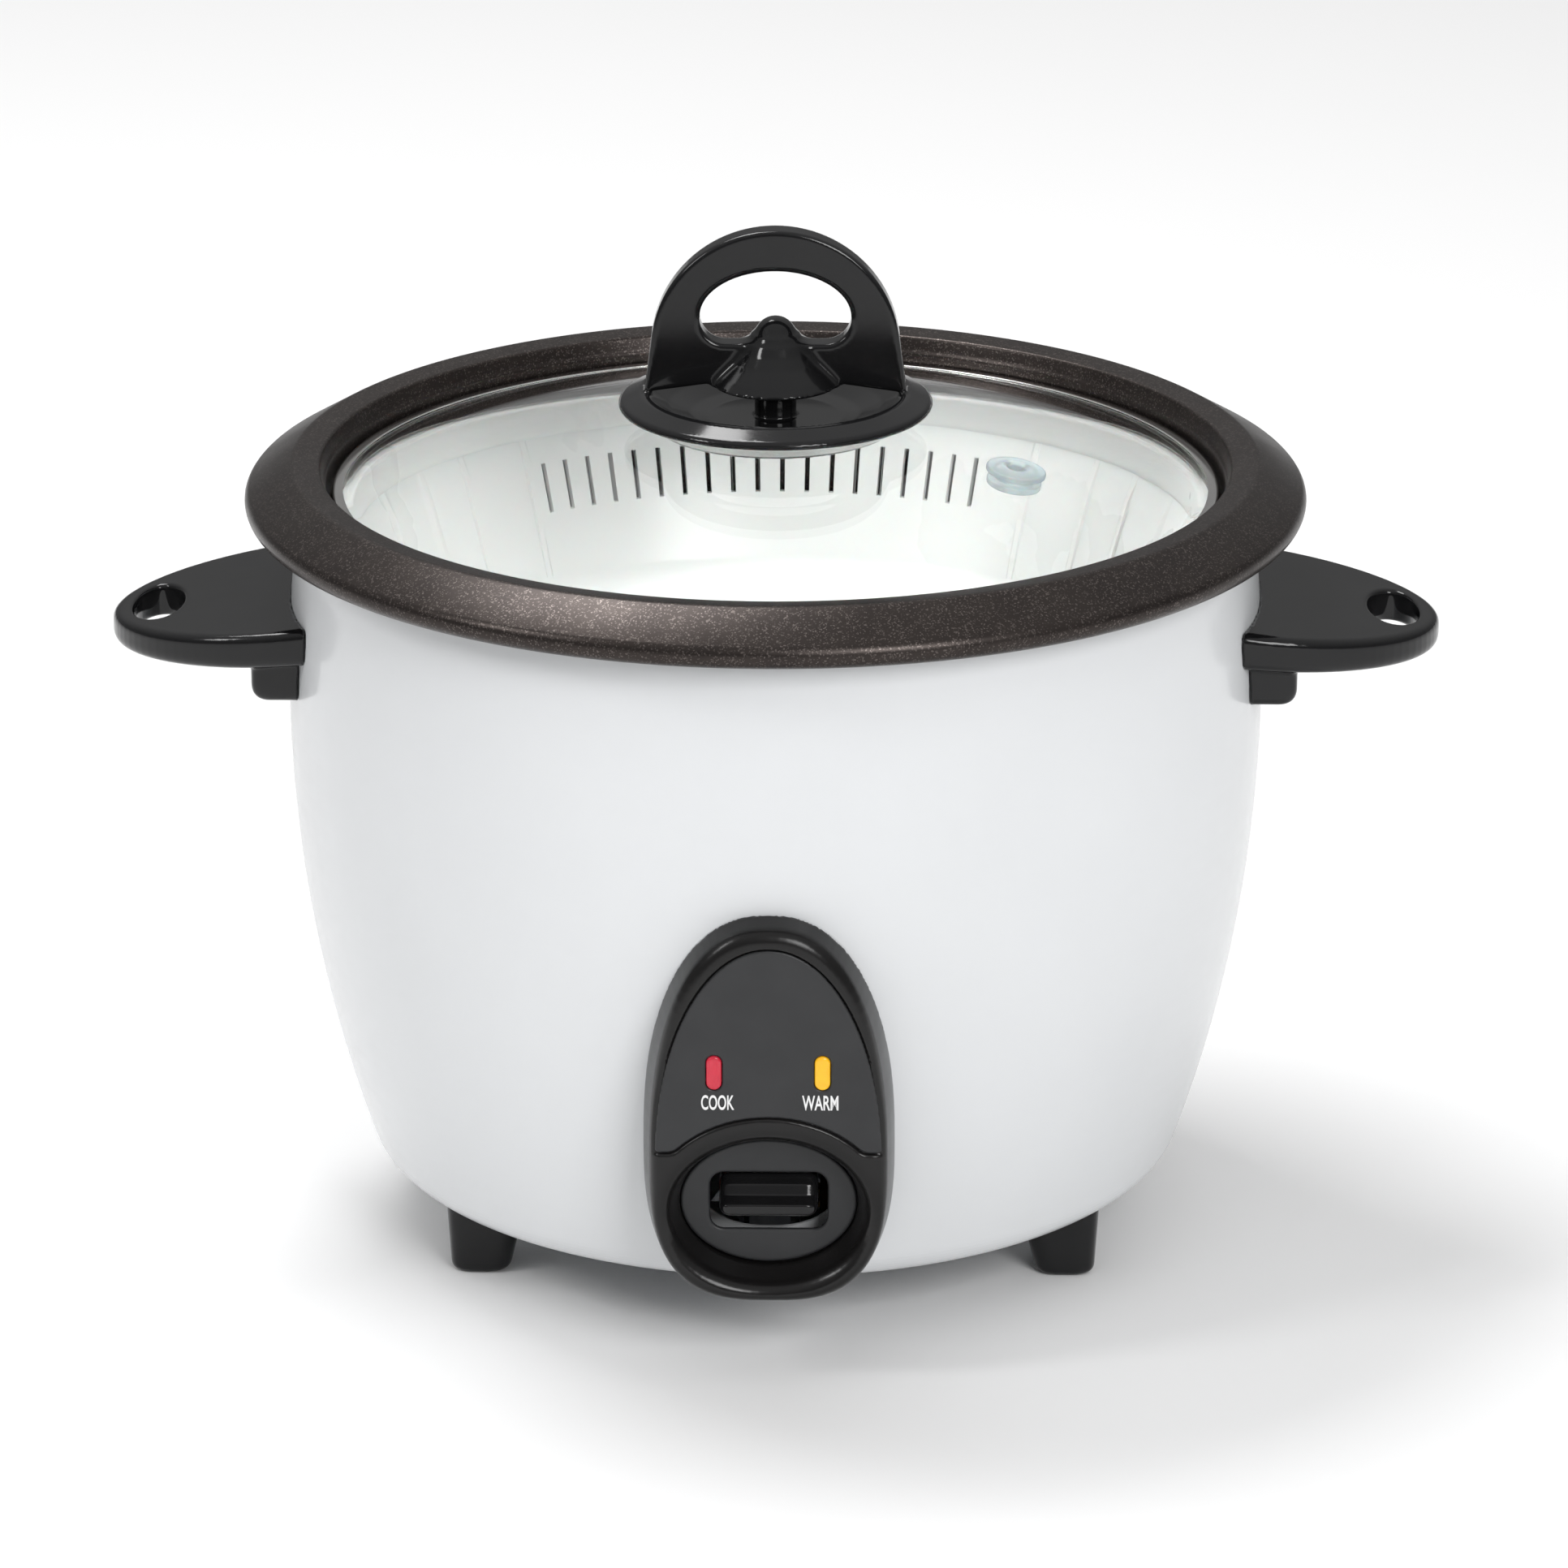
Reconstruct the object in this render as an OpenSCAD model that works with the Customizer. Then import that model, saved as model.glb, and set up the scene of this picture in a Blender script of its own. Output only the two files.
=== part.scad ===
// Rice cooker: painted drum, nonstick pot with a wide rim, steaming basket, glass lid, control panel.
// Millimetres. The origin is on the surface that it stands on, on the drum's axis. The panel faces -Y.

/* [Drum] */
// Largest radius of the painted shell
belly_r = 122.2; // [118:0.1:124]
// Height of the shell's widest point
belly_z = 140.3; // [130:0.1:150]
// Radius of the barrel curve of the side
barrel_r = 359; // [320:1:400]
// Radius of the rolled lower corner
corner_r = 11; // [8:0.5:14]
// Height of the shell's flat underside, which is the feet's height
shell_bottom = 17.9; // [15:0.1:22]
// Height of the shell's top edge
shell_top = 190; // [188:0.5:191]
// Thickness of the shell's sheet steel
shell_t = 0.9; // [0.6:0.1:1.2]

/* [Pot] */
// Radius over the pot's rolled rim
rim_r = 132.4; // [130:0.1:136]
// Height of the rim's crest
rim_z = 199.6; // [198:0.1:202]
// Radius of the rim's crest
crest_r = 120.3; // [118:0.1:122]
// Height of the seat that carries the basket and the lid
seat_z = 184.9; // [182:0.1:186]
// Radius of the wall above the seat
neck_r = 112; // [111.5:0.1:114]
// Underside of the pot's floor
pot_floor_z = 66.7; // [66.6:0.1:70]
// Thickness of the pot's wall
pot_t = 1.6; // [1.2:0.1:2]

/* [Basket] */
// Underside of the basket's floor
basket_floor_z = 138; // [120:1:150]
// Thickness of the basket's wall
basket_t = 1.6; // [1.2:0.1:2]
// Slits in each of the two groups
slit_count = 19; // [9:2:25]
// Width of one slit
slit_w = 1.3; // [0.8:0.1:2]

/* [Lid] */
// Height of the top of the dome
dome_top = 208.8; // [206:0.1:212]
// Radius of the dome's sphere
dome_r = 358; // [340:1:380]
// Thickness of the glass
glass_t = 4; // [3:0.5:4.5]
// Outer radius of the steel ring
ring_r = 110.7; // [110:0.1:111]
// Radius at which the steam vent stands
vent_place_r = 64.5; // [50:0.5:80]

/* [Lid handle] */
// Radius of the handle's round foot
dish_r = 39; // [34:0.5:44]
// Height of the top of the arch
arch_top = 258.3; // [250:0.1:262]
// Radius of the arch
arch_r = 31; // [28:0.5:32]
// Thickness of the arch
arch_t = 7; // [5:0.5:9]

/* [Side handles] */
// Width over both side handles
handle_span = 333; // [320:1:345]
// Half the handle's width at the drum
handle_half = 38.5; // [34:0.5:42]
// Height of the handle's top at the drum
handle_z = 165.4; // [162:0.1:168]

/* [Control panel] */
// Distance of the panel's face in front of the axis, at the panel's widest point
panel_y = 126.7; // [125:0.1:128]
// Height of the panel's widest point
panel_z = 60; // [55:0.5:65]
// How far the panel leans forward at its top, in degrees
panel_lean = 3; // [0:0.5:5]
// Half the panel's width
panel_half = 30.4; // [29:0.1:32]
// Panel's height above its widest point
panel_up = 63.1; // [58:0.1:64]
// Panel's height below its widest point
panel_down = 38.9; // [36:0.1:40]
// Spacing of the two lamp windows
lens_pitch = 26; // [22:1:28]

/* [Feet] */
// Distance of a foot's middle from the axis, left to right
foot_x = 72; // [66:0.5:74]
// Distance of a foot's middle from the axis, front to back
foot_y = 45; // [40:0.5:48]

/* [Hidden] */
$fn = 96;
// A small gap that keeps touching surfaces apart
gap = 0.1;

// Drum
barrel_x = belly_r - barrel_r;
corner_z = shell_bottom + corner_r;
corner_x = barrel_x + sqrt(pow(barrel_r - corner_r, 2) - pow(belly_z - corner_z, 2));
tangent_a = atan2(corner_z - belly_z, corner_x - barrel_x);
lip_r = 78;
base_t = 1.2;
base_z = shell_bottom + shell_t;

// Liner and hot plate
liner_t = 0.8;
liner_floor_z = 50;
liner_top_r = 112;
liner_low_r = 104;
liner_step_z = 181;
liner_corner = 10;
plate_top = 66.3;
plate_under = 58.2;
plate_r = 75;
plate_hole_r = 18.2;
element_r = 54;
element_z = 59.4;
element_tube = 3.4;
element_end_r = 4.2;
element_gap_a = 24;
element_hole_r = 5;
post_ring = 66;

// Thermostat
tube_r = 13;
tube_bore_r = 11.6;
tube_low = 41;
tube_top = 60;
tube_flange_z = 51.8;
cap_r = 17.6;
cap_t = 2;
magnet_low = 46;
rod_r = 2.5;
rod_low = 33.9;

// Lever
pivot_y = -62;
pivot_z = 32.75;
pin_r = 1.5;
arm_low = 32;
arm_t = 1.5;
knob_w = 24;
knob_back = -109;
knob_under = 44;
knob_h = 9.8;

// Panel, in its own frame: x to the right, y up, z out of the panel's face
face_t = 2.4;
inlay_t = 0.8;
well_y = -13.7;
well_depth = 9.5;
plate_rx = 21.4;
plate_ry = 16.3;
window_w = 28.4;
window_h = 15;
window_y = -13.65;
lens_y = 24.4;
screw_spots = [[0, 48, -9.7], [-23.5, 14, -15.2], [23.5, 14, -15.2]];

// Pot
pot_corner = 30;
pot_top_r = 107.2;
pot_wall_a = 4.93;
nose_r = 3.5;
nose_x = rim_r - nose_r;
nose_z = rim_z - 9;
slope_a = 57.8;

// Basket
basket_corner = 8;
basket_draft = 18;
shoulder_r = 105.5;
shoulder_z = 178;
slit_low = 159.5;
slit_h = 12.3;
slit_turn = 3.5;
slit_pitch = 3.75;

// Lid handle
dish_floor_z = 210;
dish_edge_z = 213.5;
dish_crest_r = 32.5;
dish_crest_z = 216.6;
dish_foot_r = 29;
stem_r = 5.2;
lid_bore_r = 2.45;
vent_hole_r = 5;
vent_a = -22.8;
dome_z = dome_top - dome_r;

// Handles
root_x = 117;
hole_x = 155;
hole_rx = 6.3;
hole_ry = 13.5;
block_x = 129.5;
block_low = 145;
handle_low = 155.7;
handle_tip_top = 159.2;
handle_tip_low = 151.2;
handle_roof_z = 156.2;
plan_power = 1.05;
handle_screw_y = 18;
handle_screw_z = 152.5;

// Inlet at the back
inlet_z = 37;
inlet_back = 115;
inlet_pin_low = 81;

// ---- outlines ----

function arc(x, y, r, from, to, steps) =
    [for (i = [0:steps]) let (a = from + (to - from) * i / steps) [x + r * cos(a), y + r * sin(a)]];

function signed_pow(v, p) = (v < 0 ? -1 : 1) * pow(abs(v), p);

// Closed curve with a rounder or squarer form above and below its widest line
function egg(half, up, down, n_up, n_down, steps = 72) =
    [for (i = [0:steps - 1])
        let (a = 360 * i / steps, n = a <= 180 ? n_up : n_down, high = a <= 180 ? up : down)
        [half * signed_pow(cos(a), 2 / n), high * signed_pow(sin(a), 2 / n)]];

function panel_curve(inset) =
    egg(panel_half - inset, panel_up - inset, panel_down - inset, 2.3, 2.85);

function oval(rx, ry, steps = 64) =
    [for (i = [0:steps - 1]) [rx * cos(360 * i / steps), ry * sin(360 * i / steps)]];

// The shell's outer side, from the lower corner to a height, moved out by "out"
function drum_side(out, top) =
    concat(arc(corner_x, corner_z, corner_r + out, -90, tangent_a, 12),
           arc(barrel_x, belly_z, barrel_r + out, tangent_a,
               asin((top - belly_z) / (barrel_r + out)), 30));

function backwards(list) = [for (i = [len(list) - 1:-1:0]) list[i]];

function mirrored(list) = concat(list, [for (p = backwards(list)) [-p[0], p[1]]]);

// Tube of eight sides along a path
function unit(v) = v / norm(v);
function heading(path, i) = unit(path[min(i + 1, len(path) - 1)] - path[max(i - 1, 0)]);
function ring_at(path, i, r, side) =
    let (t = heading(path, i), u = unit(cross(t, side)), w = cross(u, t))
    [for (k = [0:7]) path[i] + r * (cos(45 * k) * u + sin(45 * k) * w)];

module tube_along(path, r, side) {
    n = len(path);
    polyhedron(
        points = [for (i = [0:n - 1]) each ring_at(path, i, r, side)],
        faces = concat(
            [[for (k = [7:-1:0]) k]],
            [for (i = [0:n - 2]) for (k = [0:7])
                [i * 8 + k, i * 8 + (k + 1) % 8, (i + 1) * 8 + (k + 1) % 8, (i + 1) * 8 + k]],
            [[for (k = [0:7]) (n - 1) * 8 + k]]));
}

module coil_spring(r, wire_r, low, high, turns) {
    steps = 14;
    path = [for (i = [0:turns * steps])
        let (a = 360 * i / steps)
        [r * cos(a), r * sin(a), low + wire_r + (high - low - 2 * wire_r) * i / (turns * steps)]];
    tube_along(path, wire_r, [0, 0, 1]);
}

module lead(points, r = 1.2) {
    // Two passes of corner cutting round the lead's bends
    soft = soften(soften(points));
    tube_along(soft, r, [0.13, 0.21, 0.97]);
}

function soften(p) = concat([p[0]],
    [for (i = [0:len(p) - 2]) each [p[i] * 0.75 + p[i + 1] * 0.25, p[i] * 0.25 + p[i + 1] * 0.75]],
    [p[len(p) - 1]]);

// ---- placing ----

module on_panel() {
    translate([0, -panel_y, panel_z]) rotate([90 + panel_lean, 0, 0]) children();
}

module drum_solid(out) {
    rotate_extrude() polygon(concat([[0, shell_bottom - out]], drum_side(out, 194), [[0, 194]]));
}

module along_x(length) {
    rotate([90, 0, 90]) linear_extrude(length, center = true) children();
}

module four_feet() {
    for (sx = [-1, 1], sy = [-1, 1]) translate([sx * foot_x, sy * foot_y, 0]) children();
}

module rounded_rect(w, h, r) {
    square([w - 2 * r, h], center = true);
    square([w, h - 2 * r], center = true);
    for (sx = [-1, 1], sy = [-1, 1]) translate([sx * (w / 2 - r), sy * (h / 2 - r)]) circle(r);
}

module pill(w, h) {
    square([w, h - w], center = true);
    for (s = [-1, 1]) translate([0, s * (h - w) / 2]) circle(w / 2, $fn = 32);
}

// ---- drum ----

module outer_shell() {
    color("white") difference() {
        rotate_extrude() polygon(concat(
            [[lip_r, shell_bottom]],
            drum_side(0, shell_top),
            [[116.4, shell_top], [116.4, shell_top - shell_t]],
            backwards(drum_side(-shell_t, shell_top - shell_t)),
            [[lip_r, base_z]]));
        on_panel() translate([0, 0, -50]) linear_extrude(55) polygon(egg(20, 38, 25, 2.6, 2.6));
        on_panel() for (s = screw_spots) translate([s[0], s[1], -25]) cylinder(r = 1.8, h = 22, $fn = 24);
        for (sx = [-1, 1], sy = [-1, 1])
            translate([sx * 120, sy * handle_screw_y, handle_screw_z]) rotate([0, 90, 0])
                cylinder(r = 2.2, h = 30, center = true, $fn = 24);
        translate([0, 105, inlet_z]) cube([30.4, 30, 20.4], center = true);
        for (sx = [-1, 1]) translate([sx * 20, 110, inlet_z]) rotate([90, 0, 0])
            cylinder(r = 1.8, h = 40, center = true, $fn = 24);
        four_feet() cylinder(r = 2.2, h = 40, $fn = 24);
    }
}

module base_plate() {
    color("gainsboro") difference() {
        translate([0, 0, base_z]) cylinder(r = corner_x - 1, h = base_t);
        four_feet() cylinder(r = 2.2, h = 40, $fn = 24);
        for (a = [0:15:345]) rotate([0, 0, a]) translate([34, -1.5, 0]) cube([22, 3, 40]);
        for (a = [0:30:330]) rotate([0, 0, a]) translate([14, -1.5, 0]) cube([12, 3, 40]);
    }
}

module feet() {
    color("black") for (sx = [-1, 1], sy = [-1, 1])
        translate([sx * foot_x, sy * foot_y, 0]) difference() {
            rotate([90, 0, 0]) linear_extrude(16, center = true) polygon([
                [sx * -5, 0], [sx * 8.2, 0], [sx * 9.5, shell_bottom], [sx * -9.3, shell_bottom]]);
            translate([0, 0, -1]) cylinder(r = 4, h = 8, $fn = 32);
            cylinder(r = 2.2, h = 40, $fn = 24);
        }
}

module foot_screws() {
    color("silver") four_feet() {
        translate([0, 0, 4.6]) cylinder(r = 3.6, h = 2.4, $fn = 32);
        translate([0, 0, 7]) cylinder(r = 2, h = 16, $fn = 24);
        translate([0, 0, base_z + base_t]) difference() {
            cylinder(r = 4, h = 2.8, $fn = 6);
            cylinder(r = 2, h = 8, $fn = 24);
        }
    }
}

module inner_liner() {
    slope = atan2(liner_top_r - liner_low_r, liner_step_z - liner_floor_z - liner_corner);
    floor_r = liner_low_r - liner_corner * cos(slope) + 1.2;
    outer = concat([[tube_r + 0.4, liner_floor_z]],
        arc(floor_r, liner_floor_z + liner_corner, liner_corner, -90, -slope, 8),
        [[liner_top_r, liner_step_z], [116.9, 184], [116.9, shell_top - shell_t - liner_t - gap],
         [117.7, shell_top - shell_t - liner_t - gap]]);
    inner = concat([[tube_r + 0.4, liner_floor_z + liner_t]],
        arc(floor_r, liner_floor_z + liner_corner, liner_corner - liner_t, -90, -slope, 8),
        [[liner_top_r - liner_t, liner_step_z], [116.1, 184.2], [116.1, shell_top - shell_t - gap],
         [117.7, shell_top - shell_t - gap]]);
    color("silver") difference() {
        rotate_extrude() polygon(concat(outer, backwards(inner)));
        for (s = [-1, 1]) rotate([0, 0, 90 + s * element_gap_a]) translate([element_r, 0, 0])
            cylinder(r = element_hole_r, h = 60, $fn = 32);
        for (a = [30, 150, 270]) rotate([0, 0, a]) translate([post_ring, 0, 0])
            cylinder(r = 1.8, h = 60, $fn = 24);
    }
}

// ---- side handles ----

function handle_plan(inset) =
    let (rx = handle_span / 2 - root_x - inset, ry = handle_half - inset)
    [for (i = [-18:18]) let (a = 90 * i / 18)
        [root_x + rx * pow(cos(a), plan_power), ry * signed_pow(sin(a), plan_power)]];

module side_handle() {
    reach = handle_span / 2 - root_x;
    difference() {
        union() {
            difference() {
                translate([0, 0, handle_tip_low]) linear_extrude(handle_z + 2 - handle_tip_low)
                    polygon(concat([[105, -handle_half], [105, handle_half]], backwards(handle_plan(0))));
                translate([0, 0, handle_tip_low - 1]) linear_extrude(handle_roof_z + 1 - handle_tip_low)
                    difference() {
                        polygon(handle_plan(3));
                        translate([hole_x, 0]) polygon(oval(hole_rx + 2.4, hole_ry + 2.4, 48));
                        translate([root_x - 1, -50]) square([block_x - root_x + 1, 100]);
                    }
                translate([root_x, 0, handle_low])
                    rotate([0, atan2(handle_low - handle_tip_low, reach), 0])
                        translate([-30, -50, -20]) cube([100, 100, 20]);
            }
            translate([105, -handle_half + 6, block_low])
                cube([block_x - 105, 2 * handle_half - 12, handle_low - block_low + 2]);
        }
        translate([root_x, 0, handle_z]) rotate([0, atan2(handle_z - handle_tip_top, reach), 0])
            translate([-30, -50, 0]) cube([100, 100, 20]);
        translate([hole_x, 0, 140]) linear_extrude(40) polygon(oval(hole_rx, hole_ry, 48));
        for (sy = [-1, 1]) translate([110, sy * handle_screw_y, handle_screw_z]) rotate([0, 90, 0])
            cylinder(r = 2, h = 15, $fn = 24);
        drum_solid(gap);
    }
}

module right_handle() {
    color("black") side_handle();
}

module left_handle() {
    color("black") mirror([1, 0, 0]) side_handle();
}

module handle_screws() {
    color("silver") for (sx = [-1, 1], sy = [-1, 1])
        translate([sx * 118, sy * handle_screw_y, handle_screw_z]) rotate([0, sx * 90, 0]) {
            cylinder(r = 1.95, h = 6.5, $fn = 24);
            translate([0, 0, -1.6]) cylinder(r = 3.6, h = 1.8, $fn = 32);
        }
}

// ---- control panel ----

module panel_bezel() {
    color([0.17, 0.16, 0.16]) difference() {
        on_panel() difference() {
            union() {
                difference() {
                    union() {
                        hull() {
                            translate([0, 0, -1.6]) linear_extrude(0.2) polygon(panel_curve(1.2));
                            translate([0, 0, -0.2]) linear_extrude(0.2) polygon(panel_curve(2.4));
                            translate([0, 0, -14]) linear_extrude(0.2) polygon(panel_curve(0));
                        }
                        translate([0, 0, -32]) linear_extrude(18.2) polygon(panel_curve(0));
                    }
                    translate([0, 0, -33]) linear_extrude(33 - face_t) polygon(panel_curve(4.4));
                }
                hull() {
                    translate([0, well_y, -1]) linear_extrude(0.5) polygon(oval(26.2, 21.8));
                    translate([0, well_y, -13]) linear_extrude(0.5) polygon(oval(plate_rx + 2, plate_ry + 2));
                }
                for (s = screw_spots) translate([s[0], s[1], -20]) cylinder(r = 3, h = 19, $fn = 32);
                translate([0, lens_y, -8.7]) cylinder(r = 2.2, h = 7, $fn = 24);
            }
            hull() {
                translate([0, well_y, 0.5]) linear_extrude(0.1) polygon(oval(24.6, 20.2));
                translate([0, well_y, -well_depth]) linear_extrude(0.1)
                    polygon(oval(plate_rx + 0.1, plate_ry + 0.1));
            }
            translate([0, well_y, -well_depth - 1.6]) linear_extrude(2)
                polygon(oval(plate_rx + 0.1, plate_ry + 0.1));
            translate([0, well_y, -14]) linear_extrude(5) polygon(oval(plate_rx - 1.7, plate_ry - 1.7));
            translate([0, 0, -inlay_t - gap]) linear_extrude(2) inlay_outline(0.15);
            for (s = [-1, 1]) translate([s * lens_pitch / 2, lens_y, -5]) linear_extrude(8) pill(4.1, 9.2);
            for (s = screw_spots) translate([s[0], s[1], -25]) cylinder(r = 1.5, h = 21, $fn = 24);
        }
        drum_solid(gap);
    }
}

module inlay_outline(grow) {
    difference() {
        polygon(egg(27.3 + grow, 56.3 + grow, 30, 2.05, 2.05));
        translate([0, well_y]) polygon(oval(30 - grow, 26.4 - grow));
        translate([-40, -60]) square([80, 63.2 - grow]);
    }
}

module panel_faceplate() {
    color([0.2, 0.2, 0.21]) on_panel() translate([0, 0, -inlay_t]) linear_extrude(inlay_t) difference() {
        inlay_outline(0);
        for (s = [-1, 1]) translate([s * lens_pitch / 2, lens_y]) pill(4.1, 9.2);
    }
}

module panel_screws() {
    color("silver") on_panel() for (s = screw_spots) translate([s[0], s[1], s[2] - 2.4]) {
        cylinder(r = 2.8, h = 2, $fn = 32);
        cylinder(r = 1.45, h = -2.2 - s[2], $fn = 24);
    }
}

module switch_plate() {
    color([0.2, 0.2, 0.21]) on_panel() translate([0, well_y, -well_depth - 1.5]) linear_extrude(1.5)
        difference() {
            polygon(oval(plate_rx, plate_ry));
            translate([0, window_y - well_y]) rounded_rect(window_w, window_h, 3.5);
        }
}

module lens(side) {
    on_panel() translate([side * lens_pitch / 2, lens_y, -4]) linear_extrude(4.3) pill(3.8, 8.9);
}

module cook_lens() {
    color([0.8, 0.15, 0.28]) lens(-1);
}

module warm_lens() {
    color([0.98, 0.75, 0.08]) lens(1);
}

module lamp_board() {
    color([0.15, 0.4, 0.25]) on_panel() translate([-17, lens_y - 8, -9.9]) cube([34, 16, 1.2]);
}

module indicator_lamps() {
    color([0.95, 0.85, 0.75]) on_panel() for (s = [-1, 1])
        translate([s * lens_pitch / 2, lens_y - 4.5, -6.3]) rotate([-90, 0, 0])
            cylinder(r = 2.2, h = 9, $fn = 24);
}

// ---- hot plate ----

module heating_plate() {
    color("lightgray") difference() {
        rotate_extrude() polygon(concat(
            [[plate_hole_r, 60.5], [plate_hole_r, plate_top]],
            arc(plate_r - 2.5, plate_top - 2.5, 2.5, 90, 0, 5),
            [[plate_r, 60], [73, plate_under], [46, plate_under], [42, 60.5]]));
        translate([0, 0, element_z]) rotate_extrude()
            translate([element_r, 0]) circle(element_tube + 0.05, $fn = 32);
        for (s = [-1, 1]) rotate([0, 0, 90 + s * element_gap_a]) translate([element_r, 0, 50])
            cylinder(r = element_end_r + 0.1, h = element_z + element_tube + 0.6 - 50, $fn = 32);
        for (a = [30, 150, 270]) rotate([0, 0, a]) translate([post_ring, 0, plate_under - 1])
            cylinder(r = 1.5, h = 6, $fn = 24);
    }
}

module heating_element() {
    color("dimgray") {
        translate([0, 0, element_z]) rotate([0, 0, 90 + element_gap_a])
            rotate_extrude(angle = 360 - 2 * element_gap_a)
                translate([element_r, 0]) circle(element_tube, $fn = 32);
        for (s = [-1, 1]) rotate([0, 0, 90 + s * element_gap_a]) translate([element_r, 0, 0]) {
            translate([0, 0, 46])
                cylinder(r = element_end_r, h = element_z + element_tube + 0.5 - 46, $fn = 32);
            translate([-3, -0.4, 38]) cube([6, 0.8, 9]);
        }
    }
}

module plate_posts() {
    color("white") for (a = [30, 150, 270]) rotate([0, 0, a])
        translate([post_ring, 0, liner_floor_z + liner_t]) difference() {
            cylinder(r = 4, h = plate_under - liner_floor_z - liner_t, $fn = 32);
            translate([0, 0, -1]) cylinder(r = 1.8, h = 12, $fn = 24);
        }
}

module plate_screws() {
    color("silver") for (a = [30, 150, 270]) rotate([0, 0, a]) translate([post_ring, 0, 0]) {
        translate([0, 0, liner_floor_z - 2.2]) cylinder(r = 3, h = 2.2, $fn = 32);
        translate([0, 0, liner_floor_z]) cylinder(r = 1.45, h = 12.5, $fn = 24);
    }
}

module warm_heater() {
    slope = (liner_top_r - liner_low_r) / (liner_step_z - liner_floor_z - liner_corner);
    function wall(z) = liner_low_r + 1.25 + slope * (z - liner_floor_z - liner_corner);
    color("tan") rotate([0, 0, -60]) rotate_extrude(angle = 300) polygon([
        [wall(95), 95], [wall(95) + 1.6, 95], [wall(125) + 1.6, 125], [wall(125), 125]]);
}

// ---- thermostat ----

module sensor_housing() {
    color("silver") difference() {
        union() {
            translate([0, 0, tube_low]) cylinder(r = tube_r, h = tube_top - tube_low);
            translate([0, 0, liner_floor_z + liner_t])
                cylinder(r = 20, h = tube_flange_z - liner_floor_z - liner_t);
        }
        translate([0, 0, tube_low + 1.5]) cylinder(r = tube_bore_r, h = 30);
        cylinder(r = rod_r + 0.06, h = 60, $fn = 48);
    }
}

module sensor_spring() {
    color("darkgray") coil_spring(14.7, 0.6, tube_flange_z + 0.1, plate_top - cap_t - 0.1, 4);
}

module sensor_cap() {
    color("silver") difference() {
        union() {
            translate([0, 0, plate_top - cap_t]) cylinder(r = cap_r, h = cap_t);
            translate([0, 0, 57]) cylinder(r = cap_r, h = plate_top - 57 - cap_t);
        }
        translate([0, 0, 50]) cylinder(r = cap_r - 1.2, h = plate_top - 50 - cap_t);
    }
}

module ferrite_disc() {
    color([0.25, 0.25, 0.28]) translate([0, 0, 62]) cylinder(r = 10.4, h = plate_top - cap_t - 62);
}

module sensor_magnet() {
    color([0.3, 0.3, 0.33]) difference() {
        translate([0, 0, magnet_low]) cylinder(r = tube_bore_r - 0.5, h = 8.5);
        translate([0, 0, magnet_low - 1]) cylinder(r = rod_r, h = 5, $fn = 48);
    }
}

module magnet_rod() {
    color("gold") translate([0, 0, rod_low]) cylinder(r = rod_r, h = magnet_low + 4 - rod_low, $fn = 48);
}

module return_spring() {
    color("darkgray") coil_spring(4.4, 0.45, rod_low + 0.1, tube_low - 0.1, 4);
}

// ---- cook switch ----

module lever_arm() {
    rise_y = -98;
    color("silver") difference() {
        union() {
            along_x(10) polygon([
                [6, arm_low], [6, arm_low + arm_t], [rise_y + 1.5, arm_low + arm_t],
                [rise_y + 1.5, knob_under + 6], [-116, knob_under + 6], [-116, knob_under + 4.5],
                [rise_y, knob_under + 4.5], [rise_y, arm_low]]);
            translate([0, pivot_y, pivot_z]) rotate([0, 90, 0]) cylinder(r = 3, h = 10, center = true);
        }
        translate([0, pivot_y, pivot_z]) rotate([0, 90, 0])
            cylinder(r = pin_r + 0.05, h = 20, center = true, $fn = 48);
    }
}

module switch_lever() {
    color("black") difference() {
        along_x(knob_w) polygon(concat(
            [[knob_back, knob_under + knob_h - 0.2], [-115, knob_under + knob_h]],
            arc(-116.2, knob_under + knob_h - 1.6, 1.6, 90, 160, 4),
            arc(-119, knob_under + 2.4, 2.4, 170, 270, 6),
            [[knob_back, knob_under]]));
        translate([-5.05, -116.05, knob_under + 4.45]) cube([10.1, 20, 1.6]);
    }
}

module lever_pin() {
    color("silver") translate([0, pivot_y, pivot_z]) rotate([0, 90, 0])
        cylinder(r = pin_r, h = 20, center = true, $fn = 48);
}

module switch_bracket() {
    low = base_z + base_t;
    color("silver") difference() {
        translate([0, pivot_y, 0]) rotate([90, 0, 0]) linear_extrude(14, center = true) polygon([
            [-16, low], [32, low], [32, low + 1.2], [8.2, low + 1.2], [8.2, 37], [7, 37], [7, low + 1.2],
            [-7, low + 1.2], [-7, 37], [-8.2, 37], [-8.2, low + 1.2], [-16, low + 1.2]]);
        translate([0, pivot_y, pivot_z]) rotate([0, 90, 0])
            cylinder(r = pin_r + 0.02, h = 40, center = true, $fn = 48);
    }
}

module contact_block() {
    color([0.35, 0.2, 0.12]) translate([12, pivot_y - 6, base_z + base_t + 1.2]) difference() {
        cube([16, 12, 9]);
        for (z = [3, 6]) translate([-1, 2, z]) cube([18, 8, 0.6]);
    }
}

module contact_leaves() {
    color("gold") for (z = [3, 6]) translate([12, pivot_y - 3.9, base_z + base_t + 1.2 + z]) {
        translate([-1.8, 0, 0.05]) cube([22, 7.8, 0.5]);
        translate([-1, 3.9, 0.55]) cylinder(r = 0.7, h = 0.6, $fn = 16);
    }
}

module thermal_fuse() {
    color("silver") translate([-30, 38, 44.6]) rotate([0, 90, 0]) {
        cylinder(r = 2, h = 12, center = true, $fn = 24);
        cylinder(r = 0.6, h = 30, center = true, $fn = 16);
    }
}

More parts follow.
